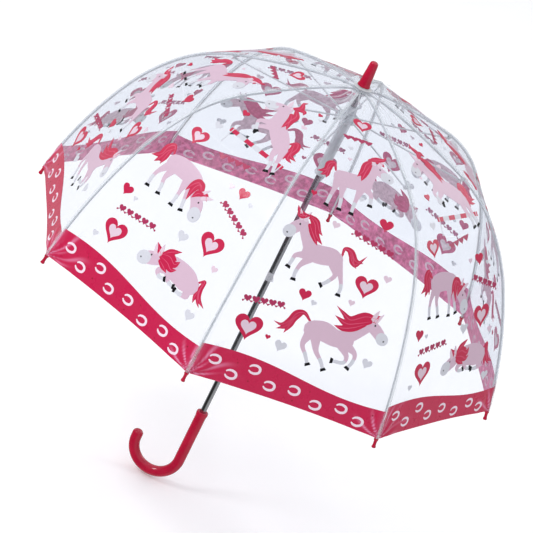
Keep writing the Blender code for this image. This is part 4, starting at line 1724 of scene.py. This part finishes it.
@dataclass
class Ribs:
    """The eight sprung wires, with the welded pockets that hold them, their tips and stretchers."""

    shop: Workshop
    dome: Dome
    radius: float = 1.3 * MM
    depth: float = 2.5 * MM
    stretcher_radius: float = 1.1 * MM
    pocket: float = 2.5 * MM
    bend: float = 42 * MM

    def along(self, arc: float) -> np.ndarray:
        """The unit (x, z) direction of the rib at an arc, to the rim."""
        arcs, _, _, slopes = self.dome.curve()
        slope = float(np.interp(arc, arcs, slopes))
        return np.array((math.cos(slope), -math.sin(slope)))

    def wire(self, root: Vector) -> np.ndarray:
        """The wire's centreline on rib 1, from its eye to inside its tip."""
        arcs = np.linspace(28 * MM, self.dome.length, 70)
        out, height = self.dome.seam(arcs, self.depth)
        end = np.array((out[-1], height[-1])) + self.along(self.dome.length) * 6 * MM
        start = [(root.x + 3.5 * MM, root.z), (root.x + 8 * MM, root.z + 0.1 * MM)]
        return upright(np.array([*start, *zip(out, height, strict=True), tuple(end)]), 0.0)

    def pocket_rings(self) -> list[np.ndarray]:
        """The welded pocket over the wire: a low arch with flat flanges, along rib 1."""
        arcs = np.linspace(24 * MM, self.dome.length - 0.2 * MM, 84)
        arcs_all, _, _, slopes = self.dome.curve()
        side = np.array((1.0, 0.86, 0.62, 0.40, 0.20, 0.0))
        rise = np.array((0.00, 0.10, 0.16, 0.62, 0.86, 0.92))
        over = np.concatenate([np.stack([-side, rise], 1), np.stack([side[-2::-1], rise[-2::-1]], 1)])
        lean = math.tan(HALF_TURN)
        rings = []
        for arc in arcs:
            out, height = self.dome.seam(arc)
            slope = float(np.interp(arc, arcs_all, slopes))
            normal = np.array((math.sin(slope), 0.0, math.cos(slope)))
            # The gores meet at a shallow ridge, so the pocket's flanges lean with them.
            fall = lean * math.sin(slope) ** 2
            ring = []
            for level, lift in ((0.34 * MM, 1.0), (-0.30 * MM, -0.15)):
                line = over if lift > 0 else over[::-1]
                for across, high in line:
                    stand = level + lift * high * 0.8 * MM - abs(across) * self.pocket * fall * 0.4
                    point = np.array((out, across * self.pocket, height)) + normal * stand
                    ring.append(point)
            rings.append(np.array(ring))
        return rings

    def bracket(self, pin: np.ndarray) -> list[Object]:
        """The steel bracket that the stretcher's rivet goes through, on rib 1.

        Args:
            pin: the rivet's (x, z) place.

        Returns:
            Its two cheeks and the band that grips the wire.
        """
        arcs = np.linspace(0.12, 0.24, 400)
        out, height = self.dome.seam(arcs, self.depth)
        nearest = int(np.argmin(np.hypot(out - pin[0], height - pin[1])))
        top, way = np.array((out[nearest], height[nearest])), self.along(arcs[nearest])
        inward = np.array((way[1], -way[0]))
        turns = np.radians(np.linspace(0, 180, 9))
        outline = [top - way * 3.4 * MM - inward * 1.1 * MM]
        outline += [pin - way * 1.7 * MM * math.cos(a) + inward * 1.7 * MM * math.sin(a) for a in turns]
        outline += [top + way * 3.4 * MM - inward * 1.1 * MM]
        wire, thick = self.shop.finishes.wire, 0.6 * MM
        cheeks = [plate("cheek", outline, low, low + thick, wire) for low in (1.05 * MM, -1.65 * MM)]
        grip = upright(np.array([top + way * s for s in (-3.2 * MM, 0.0, 3.2 * MM)]), 0.0)
        return [*cheeks, self.shop.rod("grip", grip, 1.7 * MM, 16)]

    def rib_piece(self, number: int, root: Vector, pin: np.ndarray) -> Object:
        """A rib: its eye, its wire and its bracket.

        Args:
            number: the rib's number.
            root: where rib 1 turns.
            pin: the rivet's (x, z) place on rib 1.

        Returns:
            The rib.
        """
        wire = self.shop.finishes.wire
        turns = np.radians(np.linspace(75, 285, 11))
        eye = [(root.x + 2.0 * MM * math.cos(a), root.z + 2.0 * MM * math.sin(a)) for a in turns]
        tongue = [*eye, (root.x + 8.5 * MM, root.z - 1.1 * MM), (root.x + 8.5 * MM, root.z + 1.1 * MM)]
        parts = [
            self.shop.rod("wire", self.wire(root), self.radius),
            plate("eye", tongue, -0.6 * MM, 0.6 * MM, wire),
            *self.bracket(pin),
        ]
        return turned_round(joined(f"rib_{number}_wire", parts), GORE_TURN * (number - 1))

    def stretcher_piece(self, number: int, root: Vector, pin: np.ndarray) -> Object:
        """A stretcher: a wire with a flattened eye at each end and the bracket's rivet.

        Args:
            number: the stretcher's number.
            root: where stretcher 1 turns.
            pin: the rivet's (x, z) place on rib 1.

        Returns:
            The stretcher.
        """
        wire = self.shop.finishes.wire
        start, end = np.array((root.x, root.z)), pin
        way = (end - start) / np.linalg.norm(end - start)
        side = np.array((-way[1], way[0]))
        places = [start + way * 4.5 * MM, (start + end) / 2, end - way * 4.0 * MM]
        parts = [self.shop.rod("bar", upright(np.array(places), 0.0), self.stretcher_radius)]
        for centre, out in ((start, way), (end, -way)):
            turns = np.radians(np.linspace(70, 290, 11))
            eye = [centre + 1.8 * MM * (math.cos(a) * out + math.sin(a) * side) for a in turns]
            eye += [centre + out * 9 * MM - side * 0.8 * MM, centre + out * 9 * MM + side * 0.8 * MM]
            parts.append(plate("eye", eye, -0.7 * MM, 0.7 * MM, wire))
        rivet = np.array([(end[0], y, end[1]) for y in (-2.35 * MM, 0.0, 2.35 * MM)])
        parts.append(self.shop.rod("rivet", rivet, 0.6 * MM, 12))
        for sign in (-1, 1):
            head = np.array([(end[0], sign * y, end[1]) for y in (1.75 * MM, 2.1 * MM, 2.42 * MM)])
            parts.append(self.shop.rod("head", head, 1.15 * MM, domed=False))
        return turned_round(joined(f"stretcher_{number}_wire", parts), GORE_TURN * (number - 1))

    def tip_piece(self, number: int) -> Object:
        """A rib's moulded tip: a collar, a slim neck and a rounded bulb, with a socket for the wire."""
        profile = rounded(
            [(1.5, 6.5), (1.5, 0.0), (2.9, 0.0), (3.0, 1.2), (2.9, 2.2), (2.15, 3.2), (2.05, 6.5), (2.2, 9.4),
             (2.75, 10.6), (2.85, 11.8), (2.2, 12.9), (0.4, 13.0), (0.05, 13.0), (0.05, 7.0)],
            0.5, 2,
        )
        tip = turned("tip", [(r * MM, z * MM) for r, z in profile], self.shop.finishes.crimson, 28)
        along = self.along(self.dome.length)
        way = Vector((along[0], 0, along[1]))
        out, height = self.dome.seam(self.dome.length, self.depth)
        foot = Vector((float(out), 0, float(height))) + way * 0.5 * MM
        lean = Vector((0, 0, 1)).rotation_difference(way).to_matrix().to_4x4()
        tip.data.transform(Matrix.Translation(foot) @ lean)
        tip.name = f"tip_{number}"
        return turned_round(tip, GORE_TURN * (number - 1))

    def build(self, joints: dict[str, dict]) -> list[Object]:
        """Makes the ribs, seams, tips and stretchers, and ties the tips and stretchers to their bodies.

        Args:
            joints: the frame's joints, by name.

        Returns:
            The pieces.
        """
        root = Vector(joints["rib_1_fold"]["pos_m"])
        runner_root = Vector(joints["stretcher_1_swing"]["pos_m"])
        low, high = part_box("stretcher_1")
        eye = 1.8 * MM
        rises = high.z > runner_root.z + 4 * MM
        pin = np.array((high.x - eye, high.z - eye if rises else low.z + eye))
        way = self.along(self.dome.length / 2)
        rings = self.pocket_rings()
        pieces = []
        for number in range(1, RIBS + 1):
            bodies = (f"rib_{number}_inner", f"rib_{number}_outer")
            rib = self.rib_piece(number, root, pin)
            seam = lofted(f"seam_{number}", rings, self.shop.finishes.weld)
            seam = turned_round(seam, GORE_TURN * (number - 1))
            for piece, slot in ((rib, "plated_steel"), (seam, "canopy_film")):
                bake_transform(piece)
            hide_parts(*bodies)
            tip = fitted(self.tip_piece(number), bodies[1], "crimson_plastic", f"rib_{number}_tip")
            bar, node = self.stretcher_piece(number, runner_root, pin), f"stretcher_{number}"
            pieces += [rib, seam, tip, fitted(bar, node, "plated_steel", node)]
        return pieces


# ---------------------------------------------------------------- shaft, crown, runner and handle


@dataclass
class Shaft:
    """The plated tube and its two spring catches."""

    shop: Workshop
    radius: float = 4.0 * MM
    wall: float = 0.6 * MM

    def build(self) -> list[Object]:
        """Makes the tube with its slots, and the catches.

        Returns:
            The pieces.
        """
        low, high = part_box("shaft_tube")
        inner = self.radius - self.wall
        ring = [(inner, low.z), (self.radius, low.z), (self.radius, high.z), (inner, high.z)]
        tube = turned("shaft", rounded(ring, 0.2 * MM, 2), self.shop.finishes.steel, 64)
        pieces = [tube]
        for node in ("upper_catch", "lower_catch"):
            foot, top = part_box(node)
            slot = self.slot_cutter(foot.z - 1.2 * MM, top.z + 1.2 * MM)
            cut(tube, slot)
            pieces.append(self.catch_piece(node, foot, top))
        fitted(tube, "shaft", "plated_steel", "shaft_tube")
        pieces.append(self.guard(*(corner.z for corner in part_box("lower_catch"))))
        return pieces

    def guard(self, low: float, high: float) -> Object:
        """A thin pale band round the tube over the lower catch's slot, open where the catch comes out."""
        outer, soft = self.radius + 0.42 * MM, 0.3 * MM
        low, high = low - 0.8 * MM, high + 0.4 * MM
        ring = [(self.radius, low), (outer, low + soft), (outer, high - soft), (self.radius, high)]
        band = turned("catch_band", ring, self.shop.finishes.milky, 56)
        cut(band, self.slot_cutter(low - 1 * MM, high + 1 * MM))
        return fitted(band, "shaft", "clear_plastic")

    def slot_cutter(self, low: float, high: float) -> Object:
        """A cutter for the slot that a catch stands in."""
        near, far, half = 1.0 * MM, 6.0 * MM, 1.2 * MM
        outline = np.array([(near, low), (far, low), (far, high), (near, high)])
        return lofted("slot", [upright(outline, y) for y in (-half, half)], self.shop.finishes.steel)

    def catch_piece(self, node: str, foot: Vector, top: Vector) -> Object:
        """A bent spring catch with a square shoulder towards the runner.

        Args:
            node: the CAD node that it stands for.
            foot: that node's lowest corner.
            top: that node's highest corner.

        Returns:
            The catch.
        """
        up = 1 if node == "lower_catch" else -1
        shoulder = foot.z if up > 0 else top.z
        tail = top.z if up > 0 else foot.z
        out, back = top.x, foot.x
        outline = [(back, shoulder), (out - 0.5 * MM, shoulder), (out, shoulder + up * 0.5 * MM)]
        outline += [(out - 0.05 * MM, shoulder + up * 2.0 * MM), (out - 1.0 * MM, shoulder + up * 4.4 * MM)]
        outline += [(back + 2.6 * MM, tail - up * 0.6 * MM), (back, tail)]
        finish = self.shop.finishes.milky if up > 0 else self.shop.finishes.wire
        catch = plate(f"{node}_spring", outline, -0.8 * MM, 0.8 * MM, finish)
        return fitted(catch, node, "clear_plastic" if up > 0 else "plated_steel", node)


@dataclass
class Crown:
    """The ferrule and the washer that clamp the film, over the notch that holds the ribs."""

    shop: Workshop
    dome: Dome
    bore: float = 4.3 * MM

    def build(self) -> list[Object]:
        """Makes the ferrule and washer and dresses the notch, its wire and its pin.

        Returns:
            The new pieces.
        """
        low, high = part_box("ferrule")
        tall = (high.z - low.z) / MM
        side = [(high.x / MM, 0.0), (high.x / MM, 0.9), (8.1, 2.6), (7.6, 5.5), (7.3, 10), (6.5, 21)]
        side += [(5.85, tall - 5.6), (5.6, tall - 3.4), (4.9, tall - 1.5), (3.2, tall - 0.3), (0.1, tall)]
        hole = [(0.1, 21.5), (self.bore / MM, 21.5), (self.bore / MM, 0.0)]
        profile = [(r * MM, low.z + z * MM) for r, z in (*side, *hole)]
        ferrule = turned("ferrule_cap", rounded(profile, 0.5 * MM, 3), self.shop.finishes.crimson, 56)
        washer = turned("washer", self.washer_profile(), self.shop.finishes.milky, 56)
        done = self.shop.finishes
        fitted(ferrule, "shaft", "crimson_plastic", "ferrule")
        fitted(washer, "shaft", "clear_plastic", "crown_washer")
        dress("crown_notch", done.frosted)
        dress("notch_wire", done.wire)
        dress("notch_pin", done.steel)
        return [ferrule, washer]

    def washer_profile(self) -> Profile:
        """The washer's section: a shallow dished disc with a rolled edge."""
        bore = self.bore / MM
        section = [(bore, 0.25), (13.0, -1.1), (13.2, -0.5), (12.6, -0.1), (8.6, 0.9), (bore, 1.05)]
        return rounded([(r * MM, self.dome.crown + z * MM) for r, z in section], 0.3 * MM, 3)


def dress(node: str, finish: Material) -> None:
    """Gives a CAD node that stays its finish.

    Args:
        node: the node's name.
        finish: its material.
    """
    mesh = bpy.data.objects[node].data
    mesh.materials.clear()
    mesh.materials.append(finish)


@dataclass
class Runner:
    """The frosted sleeve that slides on the shaft, its slotted head and its tie wire."""

    shop: Workshop
    bore: float = 4.6 * MM
    head_half: float = 3.0 * MM
    tube: float = 7.2 * MM

    def build(self, pivot: Vector) -> list[Object]:
        """Makes the sleeve with its head, slots and finger rings.

        Args:
            pivot: where stretcher 1 turns on the head.

        Returns:
            The pieces.
        """
        low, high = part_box("runner")
        head, foot, top = high.x, low.z, high.z
        below, above = pivot.z - self.head_half, pivot.z + self.head_half
        tube = self.tube
        outline = [(self.bore, foot), (tube + 0.8 * MM, foot), (tube + 1.4 * MM, foot + 1.4 * MM)]
        outline += [(tube + 1.0 * MM, foot + 4.5 * MM), (tube - 0.5 * MM, foot + 6.5 * MM)]
        outline += [(tube - 0.4 * MM, foot + 30 * MM), (tube + 0.5 * MM, below - 5 * MM), (head, below)]
        outline += [(head, above), (tube + 0.6 * MM, above + 3.0 * MM)]
        outline += [(tube - 0.6 * MM, top), (self.bore, top)]
        sleeve = turned("runner_sleeve", rounded(outline, 0.7 * MM, 3), self.shop.finishes.frosted, 64)
        finish, half, reach, middle = self.shop.finishes.frosted, 1.1 * MM, 10 * MM, 20 * MM
        start, end = below - 6 * MM, above + 4 * MM
        outline = np.array([(-reach, start), (reach, start), (reach, end), (-reach, end)])
        slot = lofted("slot", [upright(outline, y) for y in (-half, half)], finish)
        given = {"Solid": slot, "Count": RIBS, "Radius": middle, "Height": 0.0, "Finish": finish}
        ring = self.shop.rings.run("slots", points_mesh(np.zeros((1, 3)), False), given)
        bpy.data.objects.remove(slot, do_unlink=True)
        tidy_mesh(ring.data)
        cut(sleeve, ring)
        dress("runner_wire", self.shop.finishes.wire)
        return [fitted(sleeve, "runner", "clear_plastic", "runner")]


@dataclass
class Handle:
    """The moulded crimson handle: a collar, a straight grip and a round hook."""

    shop: Workshop
    radius: float = 7.5 * MM
    hook: float = 33.8 * MM
    rise: float = 6.0 * MM
    bore: float = 4.3 * MM
    depth: float = 52 * MM
    sides: int = 40
    turns: int = 36

    def build(self) -> list[Object]:
        """Makes the handle as one skin, with a bore for the shaft.

        Returns:
            The piece.
        """
        low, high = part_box("handle")
        top, foot = high.z, low.z + self.radius + self.hook
        floor, soft = top - self.depth, 0.4 * MM
        sizes = [(floor, 0.05 * MM), (floor, self.bore), (top - soft, self.bore), (top, self.bore + soft)]
        collar = [(0.0, 6.9), (0.12, 7.3), (0.45, 7.75), (1.0, 8.05), (1.8, 8.2), (4.6, 8.2), (5.6, 8.05)]
        collar += [(6.8, 7.75), (8.4, 7.55), (10.5, 7.5), (30, 7.5), (56, 7.5), (74, 7.5)]
        sizes += [(top - drop * MM, radius * MM) for drop, radius in collar]
        spine = [(0.0, z, r, 0.0) for z, r in sizes]
        for k in range(self.turns + 1):
            angle = math.pi * k / self.turns
            x, z = -self.hook * (1 - math.cos(angle)), foot - self.hook * math.sin(angle)
            spine.append((x, z, self.radius, angle))
        for angle in np.radians((0, 18, 36, 52, 66, 78, 86)):
            height = foot + self.rise + self.radius * 0.8 * math.sin(angle)
            spine.append((-2 * self.hook, height, self.radius * math.cos(angle), math.pi))
        around = np.arange(self.sides) * 2 * math.pi / self.sides
        rings = []
        for x, z, r, lean in spine:
            out = np.cos(around) * r
            places = [x + out * math.cos(lean), np.sin(around) * r, z - out * math.sin(lean)]
            rings.append(np.stack(places, 1))
        handle = lofted("hooked_handle", rings, self.shop.finishes.crimson)
        return [fitted(handle, "shaft", "crimson_plastic", "handle")]


# ---------------------------------------------------------------- the studio


@dataclass
class Studio:
    """A white sweep, a white room and soft lamps, with the camera that looks up the dome."""

    aim: tuple[float, float, float] = (-0.0100, 0.0034, 0.2734)
    azimuth: float = 6.79
    elevation: float = 23.46
    roll: float = 26.18
    distance: float = 4.130
    view_angle: float = 9.789

    def build(self) -> None:
        """Sets the camera, the room's light, the lamps and the floor."""
        self.camera()
        self.room()
        self.lamps()
        self.floor()
        scene = bpy.context.scene
        scene.view_settings.view_transform = "Standard"
        scene.view_settings.look = "None"

    def camera(self) -> None:
        """Creates the camera, turned about its own line of sight."""
        data = bpy.data.cameras.new("camera")
        data.angle = math.radians(self.view_angle)
        data.dof.use_dof = False
        camera = shown("camera", data)
        az, el = math.radians(self.azimuth), math.radians(self.elevation)
        back = Vector((math.sin(az) * math.cos(el), -math.cos(az) * math.cos(el), math.sin(el)))
        camera.location = Vector(self.aim) + back * self.distance
        level = (-back).to_track_quat("-Z", "Y").to_matrix().to_4x4()
        roll = Matrix.Rotation(math.radians(self.roll), 4, "Z")
        camera.matrix_world = Matrix.Translation(camera.location) @ level @ roll
        data.clip_start, data.clip_end = 0.05, 60.0
        bpy.context.scene.camera = camera

    @staticmethod
    def room() -> None:
        """A white room, whose far and near walls look darker in reflections."""
        world = bpy.data.worlds.new("white_room")
        world.use_nodes = True
        world.node_tree.nodes.clear()
        tree = Tree(world.node_tree)
        way = tree.add("ShaderNodeTexCoord").outputs["Generated"]
        parts = tree.add("ShaderNodeSeparateXYZ", {0: way}).outputs
        flag = tree.add("ShaderNodeVectorMath", {0: way, 1: (-0.64, -0.77, 0.0)}, operation="DOT_PRODUCT")
        walls = tree.ramp(flag.outputs["Value"], 0.15, 0.60, 0.44, 0.03)
        walls = tree.math("ADD", walls, tree.ramp(parts["Z"], 0.25, 0.75, 0.0, 0.50))
        sides = tree.ramp(parts["X"], -0.6, 0.8, 1.02, 0.62)
        glows = (((1, 1, 1, 1), walls), ((0.97, 0.98, 1, 1), sides), ((1, 1, 1, 1), 1.0))
        glows = [{"Color": colour, "Strength": power} for colour, power in glows]
        mirror, soft, seen = (tree.add("ShaderNodeBackground", glow).outputs[0] for glow in glows)
        rays = tree.add("ShaderNodeLightPath").outputs
        inner = tree.add("ShaderNodeMixShader", {0: rays["Is Glossy Ray"], 1: soft, 2: mirror}).outputs[0]
        outer = tree.add("ShaderNodeMixShader", {0: rays["Is Camera Ray"], 1: inner, 2: seen})
        output = tree.add("ShaderNodeOutputWorld")
        tree.link(outer.outputs[0], output.inputs[0])
        bpy.context.scene.world = world

    @staticmethod
    def lamps() -> None:
        """Two softboxes: a key at the upper left and a weaker one behind."""
        lamps = (("key", (-1.9, -1.6, 2.6), 0.7, 34.0), ("back", (1.6, 1.9, 2.0), 1.6, 14.0))
        for name, place, size, power in lamps:
            data = bpy.data.lights.new(name, "AREA")
            data.shape, data.size, data.energy = "SQUARE", size, power
            lamp = shown(name, data)
            lamp.location = place
            aim = Vector((0, 0, 0.3)) - Vector(place)
            lamp.rotation_euler = aim.to_track_quat("-Z", "Y").to_euler()

    @staticmethod
    def floor() -> None:
        """A wide white floor under the handle."""
        low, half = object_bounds()[0].z - 2 * MM, 14.0
        mesh = bpy.data.meshes.new("floor")
        places = [(-half, -half, low), (half, -half, low), (half, half, low), (-half, half, low)]
        mesh.from_pydata(places, [], [(0, 1, 2, 3)])
        mesh.materials.append(painted("white_sweep", Studio.sweep))
        floor = shown("floor", mesh)
        floor.visible_glossy = False
        floor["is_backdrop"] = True

    @staticmethod
    def sweep(tree: Tree) -> NodeSocket:
        """The white sweep's shader: matt, with a faint glow of its own."""
        given = {
            "Base Color": tree.shades(tree.noise(3, 3), (0.93, 0.93, 0.935), (0.96, 0.96, 0.965)),
            "Roughness": 0.9,
            "Emission Color": (1, 1, 1, 1),
            "Emission Strength": 0.10,
        }
        return tree.add("ShaderNodeBsdfPrincipled", given).outputs[0]


# ---------------------------------------------------------------- building


def corners(bounds: tuple[Vector, Vector]) -> list[list[float]]:
    """A box's two corners as plain lists."""
    return [list(corner) for corner in bounds]


def report(group: str, pieces: Sequence[Object]) -> None:
    """Logs each piece of a sub-assembly."""
    for piece in pieces:
        LOG.info("%s: %s, %d faces", group, piece.name, len(piece.data.polygons))


def clear_startup() -> None:
    """Removes the startup scene's objects."""
    for obj in list(bpy.data.objects):
        bpy.data.objects.remove(obj, do_unlink=True)


def main() -> None:
    """Builds the umbrella round its frame and works out how big it came out."""
    logging.basicConfig(level=logging.INFO, format="%(name)s %(message)s")
    clear_startup()
    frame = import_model()
    cad_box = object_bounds()
    Studio().build()
    joints = {joint["name"]: joint for joint in frame["joints"]}
    shop, dome = Workshop.open(), Dome.from_frame()
    steps: tuple[tuple[str, Callable[[], list[Object]]], ...] = (
        ("handle", Handle(shop).build),
        ("shaft", Shaft(shop).build),
        ("crown", Crown(shop, dome).build),
        ("runner", lambda: Runner(shop).build(Vector(joints["stretcher_1_swing"]["pos_m"]))),
        ("ribs", lambda: Ribs(shop, dome).build(joints)),
        ("canopy", Canopy(shop, dome).build_gores),
    )
    for group, build in steps:
        report(group, build())
    {"cad": corners(cad_box), "visual": corners(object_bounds())}


if __name__ == "__main__":
    main()
